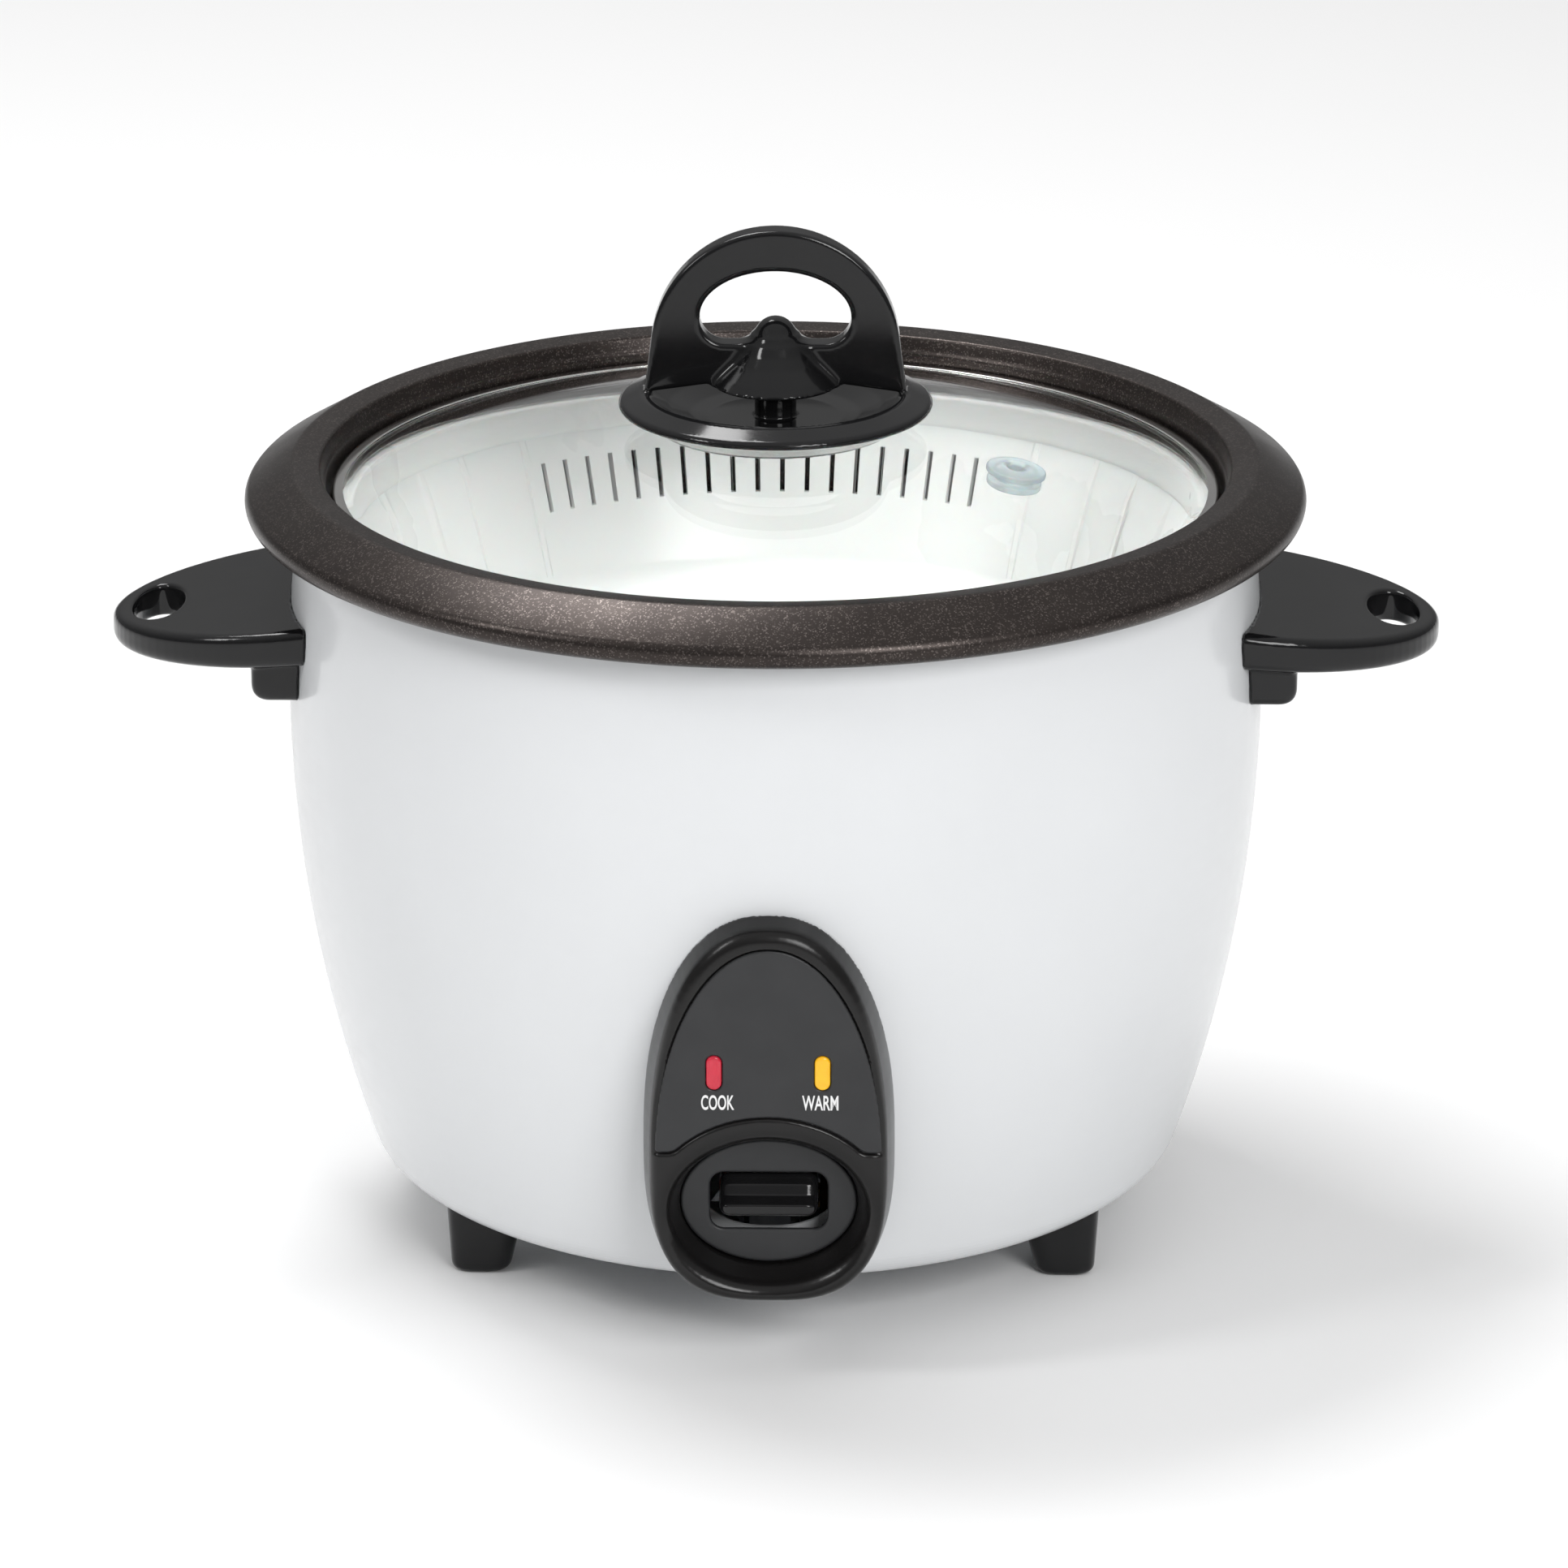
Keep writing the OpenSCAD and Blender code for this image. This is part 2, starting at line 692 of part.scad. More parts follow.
module fuse_clip() {
    color("silver") translate([-30, 38, 0]) rotate([90, 0, 90]) linear_extrude(8, center = true)
        difference() {
            union() {
                translate([0, 44.6]) circle(2.9, $fn = 32);
                translate([-7, liner_floor_z - 0.9]) square([14, 0.9]);
                translate([-1.2, 46]) square([2.4, 3.5]);
            }
            translate([0, 44.6]) circle(2.05, $fn = 32);
        }
}

// ---- inlet ----

module inlet_housing() {
    color("black") difference() {
        translate([-25, 86, inlet_z - 12]) cube([50, inlet_back - 86, 24]);
        difference() {
            drum_solid(gap);
            translate([-15, 80, inlet_z - 10]) cube([30, 60, 20]);
        }
        translate([-12.5, 88.5, inlet_z - 7.5]) cube([25, 40, 15]);
        for (s = [-1, 1]) translate([s * 6, 90, inlet_z]) rotate([90, 0, 0])
            cylinder(r = 2.05, h = 20, center = true, $fn = 24);
        for (s = [-1, 1]) translate([s * 20, 100, inlet_z]) rotate([90, 0, 0])
            cylinder(r = 1.6, h = 24, center = true, $fn = 24);
    }
}

module inlet_pins() {
    color("gold") for (s = [-1, 1]) translate([s * 6, inlet_pin_low, inlet_z]) rotate([-90, 0, 0])
        cylinder(r = 2, h = 29, $fn = 24);
}

module inlet_screws() {
    color("silver") for (s = [-1, 1]) translate([s * 20, 101, inlet_z]) rotate([-90, 0, 0]) {
        cylinder(r = 2.8, h = 2.2, $fn = 32);
        cylinder(r = 1.5, h = 10, $fn = 24);
    }
}

module wiring() {
    terminal_x = element_r * sin(element_gap_a);
    terminal_y = element_r * cos(element_gap_a);
    color([0.75, 0.2, 0.15]) {
        lead([[6, inlet_pin_low - 0.4, inlet_z], [7, 72, 36], [16, 60, 35], [terminal_x, terminal_y, 36.6]]);
        lead([[-6, inlet_pin_low - 0.4, inlet_z], [-7, 72, 38], [-9, 52, 42], [-14.3, 38, 44.6]], 0.9);
        lead([[-45.5, 38, 44.6], [-56, 20, 38], [-50, -30, 28], [-30, -80, 32], [-16, -99, 38],
              [-16, -109.5, 50], [-15, -110.5, 62], [-13, -114, 74]], 0.9);
        lead([[terminal_x + 5, terminal_y - 4, 36.6], [44, 20, 34], [46, -30, 28], [36, pivot_y + 2, 25.6]]);
    }
}

// ---- pot ----

function pot_wall(inside) =
    let (t = inside ? pot_t : 0, r = pot_corner - t, z = pot_floor_z + pot_corner)
    concat([[0, pot_floor_z + t]], arc(71, z, r, -90, -pot_wall_a, 10));

module cooking_pot() {
    outer = concat(pot_wall(false),
        [[pot_top_r + 1.5, seat_z - pot_t], [neck_r + 1.7, seat_z - pot_t], [neck_r + 3.1, rim_z - 2.4],
         [crest_r - 0.6, rim_z - 1.9]],
        arc(nose_x, nose_z, nose_r - pot_t, slope_a, -75, 8),
        arc(nose_x, nose_z, nose_r, -75, slope_a, 10),
        [[crest_r + 0.5, rim_z - 0.2], [crest_r, rim_z], [neck_r + 1.6, rim_z - 0.8], [neck_r, seat_z + 2],
         [neck_r, seat_z], [pot_top_r, seat_z]]);
    color([0.27, 0.23, 0.22]) rotate_extrude($fn = 128) polygon(concat(outer, backwards(pot_wall(true))));
}

// ---- basket ----

// The basket's side leans out at its draft angle from a rounded floor edge up to its shoulder
function basket_wall(t) =
    let (middle_z = basket_floor_z + basket_corner,
         middle_x = shoulder_r - (shoulder_z - middle_z) * tan(basket_draft) - basket_corner / cos(basket_draft))
    concat([[0, basket_floor_z + t]],
        arc(middle_x, middle_z, basket_corner - t, -90, -basket_draft, 6),
        [[shoulder_r - t / cos(basket_draft), shoulder_z]]);

module steamer_basket() {
    flange_low = seat_z + 0.3;
    flange_top = flange_low + 1.45;
    color([0.93, 0.94, 0.93]) difference() {
        rotate_extrude() polygon(concat(
            basket_wall(0),
            [[106, flange_low], [111.4, flange_low], [111.4, flange_top], [104.6, flange_top]],
            backwards(basket_wall(basket_t))));
        for (side = [90, 270], i = [0:slit_count - 1])
            rotate([0, 0, side + slit_turn + slit_pitch * (i - (slit_count - 1) / 2)])
                translate([92, -slit_w / 2, slit_low]) cube([20, slit_w, slit_h]);
    }
}

// ---- lid ----

function dome_at(r, x) = dome_z + sqrt(r * r - x * x);

module at_vent() {
    rotate([0, 0, vent_a]) translate([vent_place_r, 0, dome_at(dome_r, vent_place_r)])
        rotate([0, asin(vent_place_r / dome_r), 0]) children();
}

module lid_glass() {
    edge = ring_r - 0.9;
    steps = 20;
    color([0.8, 0.9, 0.87, 0.4]) difference() {
        rotate_extrude() polygon(concat(
            [for (i = [0:steps]) let (x = edge * i / steps) [x, dome_at(dome_r - glass_t, x)]],
            [for (i = [steps:-1:0]) let (x = edge * i / steps) [x, dome_at(dome_r, x)]]));
        cylinder(r = 4, h = 300, $fn = 32);
        at_vent() cylinder(r = vent_hole_r, h = 20, center = true, $fn = 48);
    }
}

module lid_ring() {
    low = seat_z + 2.05;
    top = 192.6;
    color("silver") rotate_extrude($fn = 128) polygon([
        [106.4, low], [ring_r - 0.5, low], [ring_r, low + 0.5], [ring_r, top - 0.5], [ring_r - 0.5, top],
        [108, top], [108, top - 0.35], [ring_r - 0.75, top - 0.35], [ring_r - 0.45, top - 0.65],
        [ring_r - 0.45, low + 0.6], [ring_r - 0.7, low + 0.35], [106.4, low + 0.35]]);
}

module lid_handle() {
    arch_z = arch_top - arch_r;
    sill = 229.3;
    span = 18.8;
    waist = 236.1;
    color("black") difference() {
        union() {
            rotate_extrude() polygon(concat(
                [for (i = [0:8]) let (x = dish_foot_r * i / 8) [x, dome_at(dome_r, x) + gap]],
                [[dish_r - 1.6, dish_edge_z - 1.3], [dish_r - 0.4, dish_edge_z - 0.8]],
                [[dish_r, dish_edge_z], [dish_r - 0.6, dish_edge_z + 0.8]],
                [[dish_crest_r + 1, dish_crest_z - 0.1], [dish_crest_r, dish_crest_z]],
                [[dish_crest_r - 1, dish_crest_z - 0.5], [20, dish_floor_z + 0.7]],
                [[16.7, dish_floor_z], [0, dish_floor_z]]));
            rotate([90, 0, 0]) linear_extrude(arch_t, center = true) difference() {
                polygon(concat([[30.5, 217], [33, 214]], arc(0, arch_z, arch_r, 8, 172, 40),
                    [[-33, 214], [-30.5, 217], [-12, 219.6], [12, 219.6]]));
                polygon(mirrored(concat(
                    [[0, 247.9]],
                    [for (i = [1:12]) let (a = 90 - 90 * i / 12)
                        [span * cos(a), waist + (247.9 - waist) * sin(a)]],
                    arc(span - 6.5, sill + 6.5, 6.5, 0, -90, 8))));
            }
            rotate_extrude() polygon(concat(
                [[0, dish_floor_z - 0.5], [stem_r, dish_floor_z - 0.5], [stem_r, 215]],
                [[13, 217.6], [15.8, 218.6], [13.9, 220.8], [10.6, 224.3], [8.7, 227], [7.4, 229.4]],
                arc(0, 230.4, 5.2, 15, 90, 6)));
        }
        translate([0, 0, 200]) cylinder(r = lid_bore_r, h = 24, $fn = 32);
    }
}

module lid_washer() {
    color("silver") translate([0, 0, dome_top - glass_t - 1.5]) difference() {
        cylinder(r = 10, h = 1.2, $fn = 64);
        translate([0, 0, -1]) cylinder(r = 2.6, h = 4, $fn = 32);
    }
}

module lid_screw() {
    head_top = dome_top - glass_t - 1.5;
    color("silver") difference() {
        union() {
            translate([0, 0, head_top - 2.8]) cylinder(r = 4.4, h = 2.8, $fn = 48);
            translate([0, 0, head_top - 0.1]) cylinder(r = 2.4, h = 20, $fn = 32);
        }
        for (a = [0, 90]) rotate([0, 0, a]) translate([-2.6, -0.45, head_top - 3]) cube([5.2, 0.9, 1.6]);
    }
}

module steam_vent() {
    color([0.85, 0.93, 0.95, 0.7]) at_vent() difference() {
        union() {
            cylinder(r = 7.5, h = 1.7, $fn = 64);
            translate([0, 0, -glass_t - 1.8]) cylinder(r = vent_hole_r - 0.05, h = glass_t + 2, $fn = 48);
            translate([0, 0, -glass_t - 1.8]) cylinder(r = 6.8, h = 1.6, $fn = 64);
        }
        cylinder(r = 2.2, h = 30, center = true, $fn = 32);
    }
}

outer_shell();
base_plate();
feet();
foot_screws();
inner_liner();
left_handle();
right_handle();
handle_screws();
panel_bezel();
panel_faceplate();
panel_screws();
switch_plate();
cook_lens();
warm_lens();
lamp_board();
indicator_lamps();
heating_plate();
heating_element();
plate_posts();
plate_screws();
sensor_housing();
sensor_spring();
switch_bracket();
lever_pin();
contact_block();
contact_leaves();
return_spring();
warm_heater();
thermal_fuse();
fuse_clip();
inlet_housing();
inlet_pins();
inlet_screws();
wiring();
switch_lever();
lever_arm();
sensor_magnet();
magnet_rod();
sensor_cap();
ferrite_disc();
cooking_pot();
steamer_basket();
lid_glass();
lid_ring();
lid_handle();
lid_screw();
lid_washer();
steam_vent();
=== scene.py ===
import math

import bmesh
import bpy
import numpy as np
from mathutils import Matrix, Vector


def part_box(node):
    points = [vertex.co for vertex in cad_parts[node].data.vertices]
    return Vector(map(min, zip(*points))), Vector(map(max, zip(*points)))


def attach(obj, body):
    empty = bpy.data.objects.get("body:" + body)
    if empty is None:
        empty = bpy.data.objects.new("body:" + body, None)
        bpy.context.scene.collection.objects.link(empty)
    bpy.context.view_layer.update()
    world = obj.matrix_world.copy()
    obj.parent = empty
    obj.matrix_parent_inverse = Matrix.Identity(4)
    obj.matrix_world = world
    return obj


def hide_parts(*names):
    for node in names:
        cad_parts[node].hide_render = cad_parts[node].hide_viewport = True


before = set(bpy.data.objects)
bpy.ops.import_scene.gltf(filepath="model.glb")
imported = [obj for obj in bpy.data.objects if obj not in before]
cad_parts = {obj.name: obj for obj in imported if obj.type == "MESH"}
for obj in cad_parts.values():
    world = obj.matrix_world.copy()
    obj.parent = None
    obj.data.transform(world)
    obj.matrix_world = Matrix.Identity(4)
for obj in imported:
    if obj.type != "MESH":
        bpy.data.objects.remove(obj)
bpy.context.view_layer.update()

# ---------------------------------------------------------------- camera
# A long lens two metres away, looking down at the middle of the cooker from the front.
CAMERA_REACH = 2.0
CAMERA_TURN = math.radians(0.8)
CAMERA_TILT = math.radians(19.54)
CAMERA_TARGET = Vector((0.0, 0.0, 0.1126))

camera_data = bpy.data.cameras.new("camera")
camera_data.lens = 181.4
camera_data.shift_x = 0.0054
camera = bpy.data.objects.new("camera", camera_data)
bpy.context.scene.collection.objects.link(camera)
bpy.context.scene.camera = camera
camera.location = CAMERA_TARGET + CAMERA_REACH * Vector((
    math.sin(CAMERA_TURN) * math.cos(CAMERA_TILT),
    -math.cos(CAMERA_TURN) * math.cos(CAMERA_TILT),
    math.sin(CAMERA_TILT)))
camera.rotation_euler = (CAMERA_TARGET - camera.location).to_track_quat("-Z", "Y").to_euler()

# ---------------------------------------------------------------- painted shell
# A deep-drawn drum of 0.9 mm steel, barrelled at the side and rolled under at the bottom.
# White stove enamel is sprayed on and flows out to a faint orange peel.
MM = 0.001
BELLY_R = 122.2
BELLY_Z = 140.3
BARREL_R = 359.0
CORNER_R = 11.0
SHELL_LOW = 1000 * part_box("outer_shell")[0][2]
BARREL_X = BELLY_R - BARREL_R
CORNER_Z = SHELL_LOW + CORNER_R
CORNER_X = BARREL_X + math.sqrt((BARREL_R - CORNER_R) ** 2 - (BELLY_Z - CORNER_Z) ** 2)
TANGENT = math.atan2(CORNER_Z - BELLY_Z, CORNER_X - BARREL_X)


def put(tree, kind, *by_order, **by_name):
    """A shader node with its sockets set or linked, by their order or by name."""
    node = tree.nodes.new("ShaderNode" + kind)
    pairs = list(enumerate(by_order)) + [(k.replace("_", " "), v) for k, v in by_name.items()]
    for key, value in pairs:
        if isinstance(value, bpy.types.NodeSocket):
            tree.links.new(value, node.inputs[key])
        else:
            node.inputs[key].default_value = value
    return node


def place(tree, group, **sockets):
    """One of the shared effects, placed in a material with its own values."""
    node = tree.nodes.new("ShaderNodeGroup")
    node.node_tree = group
    for key, value in sockets.items():
        socket = node.inputs[key.replace("_", " ")]
        if isinstance(value, bpy.types.NodeSocket):
            tree.links.new(value, socket)
        else:
            socket.default_value = value
    return node


def effect(name, inputs, outputs):
    """An empty effect with named sockets: (tree, what comes in, what goes out)."""
    tree = bpy.data.node_groups.new(name, "ShaderNodeTree")
    for key, value in inputs.items():
        kind = "NodeSocketColor" if isinstance(value, tuple) else "NodeSocketFloat"
        tree.interface.new_socket(key, in_out="INPUT", socket_type=kind).default_value = value
    for key, kind in outputs.items():
        tree.interface.new_socket(key, in_out="OUTPUT", socket_type="NodeSocket" + kind)
    return tree, tree.nodes.new("NodeGroupInput").outputs, tree.nodes.new("NodeGroupOutput").inputs


def one_over(tree, value):
    node = put(tree, "Math", 1.0, value)
    node.operation = "DIVIDE"
    return node.outputs[0]


def mixed(tree, share, first, second):
    """Two colours mixed by a share from 0 to 1."""
    node = tree.nodes.new("ShaderNodeMix")
    node.data_type = "RGBA"
    for key, value in ((0, share), (6, first), (7, second)):
        if isinstance(value, bpy.types.NodeSocket):
            tree.links.new(value, node.inputs[key])
        else:
            node.inputs[key].default_value = value
    return node.outputs[2]


def skin_relief():
    """Fine bumps left by a sprayed coat or a spark-eroded mould."""
    tree, given, out = effect("skin relief", {"Grain": 0.002, "Depth": 0.00002}, {"Normal": "Vector"})
    place_of = put(tree, "TexCoord").outputs["Object"]
    noise = put(tree, "TexNoise", Vector=place_of, Scale=one_over(tree, given["Grain"]), Detail=3.0)
    bump = put(tree, "Bump", Height=noise.outputs["Fac"], Distance=given["Depth"], Strength=1.0)
    tree.links.new(bump.outputs[0], out["Normal"])
    return tree


def handling_haze():
    """Roughness that drifts a little from place to place, as on anything that hands have wiped."""
    tree, given, out = effect(
        "handling haze", {"Roughness": 0.3, "Spread": 0.05, "Patch": 0.03}, {"Roughness": "Float"})
    place_of = put(tree, "TexCoord").outputs["Object"]
    noise = put(tree, "TexNoise", Vector=place_of, Scale=one_over(tree, given["Patch"]), Detail=4.0)
    low = put(tree, "Math", given["Roughness"], given["Spread"])
    low.operation = "SUBTRACT"
    high = put(tree, "Math", given["Roughness"], given["Spread"])
    high.operation = "ADD"
    spread = put(tree, "MapRange", noise.outputs["Fac"], 0.3, 0.7, low.outputs[0], high.outputs[0])
    tree.links.new(spread.outputs[0], out["Roughness"])
    return tree


def tone_drift():
    """Two close tones of one colour, in soft patches."""
    tree, given, out = effect(
        "tone drift", {"Tone": (0.5, 0.5, 0.5, 1), "Other tone": (0.4, 0.4, 0.4, 1), "Patch": 0.02},
        {"Color": "Color"})
    place_of = put(tree, "TexCoord").outputs["Object"]
    noise = put(tree, "TexNoise", Vector=place_of, Scale=one_over(tree, given["Patch"]), Detail=5.0)
    share = put(tree, "MapRange", noise.outputs["Fac"], 0.35, 0.65, 0.0, 1.0).outputs[0]
    tree.links.new(mixed(tree, share, given["Tone"], given["Other tone"]), out["Color"])
    return tree


SKIN_RELIEF = skin_relief()
HANDLING_HAZE = handling_haze()
TONE_DRIFT = tone_drift()


def finish(name, tone, other_tone, patch=0.02, rough=0.3, spread=0.04, grain=0.002, depth=0.00001,
           **sockets):
    """A material with drifting tone and roughness and a fine relief; sockets set the rest."""
    material = bpy.data.materials.new(name)
    material.use_nodes = True
    tree = material.node_tree
    shader = tree.nodes["Principled BSDF"]
    colour = place(tree, TONE_DRIFT, Tone=(*tone, 1), Other_tone=(*other_tone, 1), Patch=patch)
    haze = place(tree, HANDLING_HAZE, Roughness=rough, Spread=spread, Patch=patch * 1.7)
    relief = place(tree, SKIN_RELIEF, Grain=grain, Depth=depth)
    tree.links.new(colour.outputs[0], shader.inputs["Base Color"])
    tree.links.new(haze.outputs[0], shader.inputs["Roughness"])
    tree.links.new(relief.outputs[0], shader.inputs["Normal"])
    for key, value in sockets.items():
        shader.inputs[key.replace("_", " ")].default_value = value
    return material


def arc(x, y, radius, start, end, steps):
    """Points along an arc, angles in radians."""
    turns = np.linspace(start, end, steps + 1)
    return [(x + radius * math.cos(t), y + radius * math.sin(t)) for t in turns]


def rounded(corners, steps=5):
    """An outline from corners (radius, height, rounding): each rounding is drawn as a small curve."""
    points = []
    count = len(corners)
    for i, (x, y, size) in enumerate(corners):
        here = np.array((x, y), float)
        if size == 0:
            points.append((x, y))
            continue
        before = np.array(corners[i - 1][:2], float) - here
        after = np.array(corners[(i + 1) % count][:2], float) - here
        start = here + before / np.linalg.norm(before) * min(size, np.linalg.norm(before) * 0.49)
        end = here + after / np.linalg.norm(after) * min(size, np.linalg.norm(after) * 0.49)
        for t in np.linspace(0, 1, steps + 1):
            points.append(tuple((1 - t) ** 2 * start + 2 * t * (1 - t) * here + t * t * end))
    return points


def spin(name, outline, steps=256):
    """Turns a closed outline of (radius, height) in millimetres round the drum's axis."""
    points = np.array(outline, float)
    turns = np.linspace(0, 2 * math.pi, steps, endpoint=False)
    count = len(points)
    verts = [(r * math.cos(t) * MM, r * math.sin(t) * MM, z * MM) for t in turns for r, z in points]
    faces = []
    for s in range(steps):
        n = (s + 1) % steps
        for i in range(count):
            j = (i + 1) % count
            if points[i][0] < 0.01 and points[j][0] < 0.01:
                continue
            faces.append((s * count + i, n * count + i, n * count + j, s * count + j))
    mesh = bpy.data.meshes.new(name)
    mesh.from_pydata(verts, [], faces)
    return mesh


def tidy(mesh, angle=35):
    """Joins doubled points, turns the faces outwards and shades smooth up to an angle."""
    work = bmesh.new()
    work.from_mesh(mesh)
    bmesh.ops.remove_doubles(work, verts=work.verts, dist=2e-6)
    bmesh.ops.recalc_face_normals(work, faces=work.faces)
    work.to_mesh(mesh)
    work.free()
    mesh.shade_smooth()
    mesh.set_sharp_from_angle(angle=math.radians(angle))
    return mesh


def fit(name, mesh, material, body, slot, *nodes):
    """Puts a made piece in place: its material, its body and the nodes it stands for; slot is not used."""
    piece = bpy.data.objects.new(name, mesh)
    bpy.context.scene.collection.objects.link(piece)
    mesh.materials.clear()
    mesh.materials.append(material)
    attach(piece, body)
    if nodes:
        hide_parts(*nodes)
    return piece


def coat(material, *nodes):
    """Gives CAD nodes whose shape is right their material."""
    for node in nodes:
        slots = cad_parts[node].data.materials
        slots.clear()
        slots.append(material)


ENAMEL = finish("white enamel", (0.70, 0.713, 0.726), (0.687, 0.70, 0.713), patch=0.05, rough=0.22,
                spread=0.03, grain=0.0035, depth=0.000006, Coat_Weight=0.2, Coat_Roughness=0.08,
                Specular_IOR_Level=0.25)
coat(ENAMEL, "outer_shell")

# ---------------------------------------------------------------- base plate and fasteners
# A zinc-plated pressing with radial vents closes the drum. Four long screws clamp it, through
# the feet, against the shell's turned-in lip. The other screws are the same plated steel.


def plating_rings():
    """Fine rings round the drum's axis, as a press tool or a lathe leaves them."""
    tree, given, out = effect("turned rings", {"Pitch": 0.0006, "Depth": 0.00001}, {"Normal": "Vector"})
    place_of = put(tree, "TexCoord").outputs["Object"]
    flat = put(tree, "VectorMath", place_of, (1.0, 1.0, 0.0))
    flat.operation = "MULTIPLY"
    length = put(tree, "VectorMath", flat.outputs["Vector"])
    length.operation = "LENGTH"
    across = put(tree, "Math", length.outputs["Value"], one_over(tree, given["Pitch"]))
    across.operation = "MULTIPLY"
    noise = tree.nodes.new("ShaderNodeTexNoise")
    noise.noise_dimensions = "1D"
    noise.inputs["Scale"].default_value = 1.0
    tree.links.new(across.outputs[0], noise.inputs["W"])
    bump = put(tree, "Bump", Height=noise.outputs["Fac"], Distance=given["Depth"], Strength=1.0)
    tree.links.new(bump.outputs[0], out["Normal"])
    return tree


TURNED_RINGS = plating_rings()


def turned(material, pitch, depth):
    """Gives a metal its rings in place of the fine relief."""
    tree = material.node_tree
    rings = place(tree, TURNED_RINGS, Pitch=pitch, Depth=depth)
    tree.links.new(rings.outputs[0], tree.nodes["Principled BSDF"].inputs["Normal"])
    return material


ZINC = finish("zinc plate", (0.56, 0.57, 0.58), (0.48, 0.50, 0.53), patch=0.008, rough=0.36, spread=0.08,
              grain=0.0012, depth=0.000008, Metallic=1.0)
PLATED_STEEL = finish("plated screw steel", (0.62, 0.62, 0.63), (0.5, 0.5, 0.52), patch=0.004, rough=0.24,
                      spread=0.06, grain=0.0008, depth=0.000005, Metallic=1.0)
coat(ZINC, "base_plate", "switch_bracket", "fuse_clip", "lever_arm", "sensor_housing")
coat(PLATED_STEEL, "foot_screws", "handle_screws", "panel_screws", "plate_screws", "inlet_screws",
     "lever_pin", "lid_screw", "lid_washer")

# ---------------------------------------------------------------- feet
# Four feet of black gloss plastic, wider at the top where they spread under the drum. Each
# is moulded hollow for its long screw, with all its edges softened.


def smooth_max(a, b, size):
    """The larger of two distances, with the corner between them rounded off by size."""
    near = np.maximum(size - np.abs(a - b), 0.0) / size
    return np.maximum(a, b) + near * near * size * 0.25


def smooth_min(a, b, size):
    return -smooth_max(-a, -b, size)


def edge_distance(x, y, outline):
    """Distance from points to a closed outline, below zero inside it."""
    x, y = np.broadcast_arrays(x, y)
    near = np.full(x.shape, 1e9)
    inside = np.zeros(x.shape, bool)
    for (ax, ay), (bx, by) in zip(outline, outline[1:] + outline[:1]):
        run, rise = bx - ax, by - ay
        along = np.clip(((x - ax) * run + (y - ay) * rise) / (run * run + rise * rise + 1e-12), 0, 1)
        near = np.minimum(near, (x - ax - along * run) ** 2 + (y - ay - along * rise) ** 2)
        if ay != by:
            crosses = ((ay > y) != (by > y)) & (x < ax + (y - ay) / rise * run)
            inside ^= crosses
    return np.where(inside, -1, 1) * np.sqrt(near)


def mould(name, rule, low, high, cell):
    """Skins the space where rule(x, y, z) is below zero, in millimetres, then draws the skin true."""
    axes = [np.arange(a - 1.5 * cell, b + 2.5 * cell, cell) for a, b in zip(low, high)]
    field = rule(*np.meshgrid(*axes, indexing="ij", sparse=True))
    field = np.broadcast_to(field, [len(a) for a in axes])
    inside = field < 0
    cells = tuple(n - 1 for n in field.shape)
    total = np.zeros(cells + (3,))
    count = np.zeros(cells)
    crossings = []
    for axis in range(3):
        others = [k for k in range(3) if k != axis]
        here, there = [slice(None)] * 3, [slice(None)] * 3
        here[axis], there[axis] = slice(0, -1), slice(1, None)
        a, b = field[tuple(here)], field[tuple(there)]
        crossed = inside[tuple(here)] != inside[tuple(there)]
        crossings.append((axis, crossed, inside[tuple(here)]))
        spot = np.argwhere(crossed)
        share = (a / np.where(a == b, 1, a - b))[crossed]
        point = spot.astype(float)
        point[:, axis] += share
        for du in (0, 1):
            for dv in (0, 1):
                cell_at = spot.copy()
                cell_at[:, others[0]] -= du
                cell_at[:, others[1]] -= dv
                fits = (cell_at >= 0).all(1) & (cell_at < np.array(cells)).all(1)
                where = tuple(cell_at[fits].T)
                np.add.at(total, where, point[fits])
                np.add.at(count, where, 1)
    used = count > 0
    number = np.full(cells, -1)
    number[used] = np.arange(used.sum())
    points = total[used] / count[used][:, None]
    origin = np.array([a[0] for a in axes])
    points = origin + points * cell
    faces = []
    for axis, crossed, was_inside in crossings:
        u, v = (axis + 1) % 3, (axis + 2) % 3
        spot = np.argwhere(crossed)
        forward = was_inside[crossed]
        ring = []
        for du, dv in ((1, 1), (0, 1), (0, 0), (1, 0)):
            corner = spot.copy()
            corner[:, u] -= du
            corner[:, v] -= dv
            ring.append(number[tuple(corner.T)])
        ring = np.array(ring).T
        ring[~forward] = ring[~forward][:, ::-1]
        faces.append(ring)
    step = cell * 0.25
    for _ in range(3):
        value = rule(*points.T)
        slope = np.stack([
            rule(*(points + step * axis).T) - rule(*(points - step * axis).T)
            for axis in np.eye(3)], 1) / (2 * step)
        length = np.maximum((slope ** 2).sum(1), 0.25)
        move = -slope * (value / length)[:, None]
        points = points + np.clip(move, -0.5 * cell, 0.5 * cell)
    mesh = bpy.data.meshes.new(name)
    mesh.from_pydata((points * MM).tolist(), [], np.concatenate(faces).tolist())
    mesh.shade_smooth()
    return mesh


def mirrored(mesh, name, x=1, y=1):
    """A copy of a mesh, flipped left to right or front to back."""
    copy = mesh.copy()
    copy.name = name
    copy.transform(Matrix.Diagonal((x, y, 1, 1)))
    if x * y < 0:
        copy.flip_normals()
    return copy


def joined(name, meshes):
    """Several meshes as one."""
    work = bmesh.new()
    for mesh in meshes:
        work.from_mesh(mesh)
    result = bpy.data.meshes.new(name)
    work.to_mesh(result)
    work.free()
    result.shade_smooth()
    return result


FOOT_X, FOOT_Y, FOOT_DEEP = 72.0, 45.0, 16.0


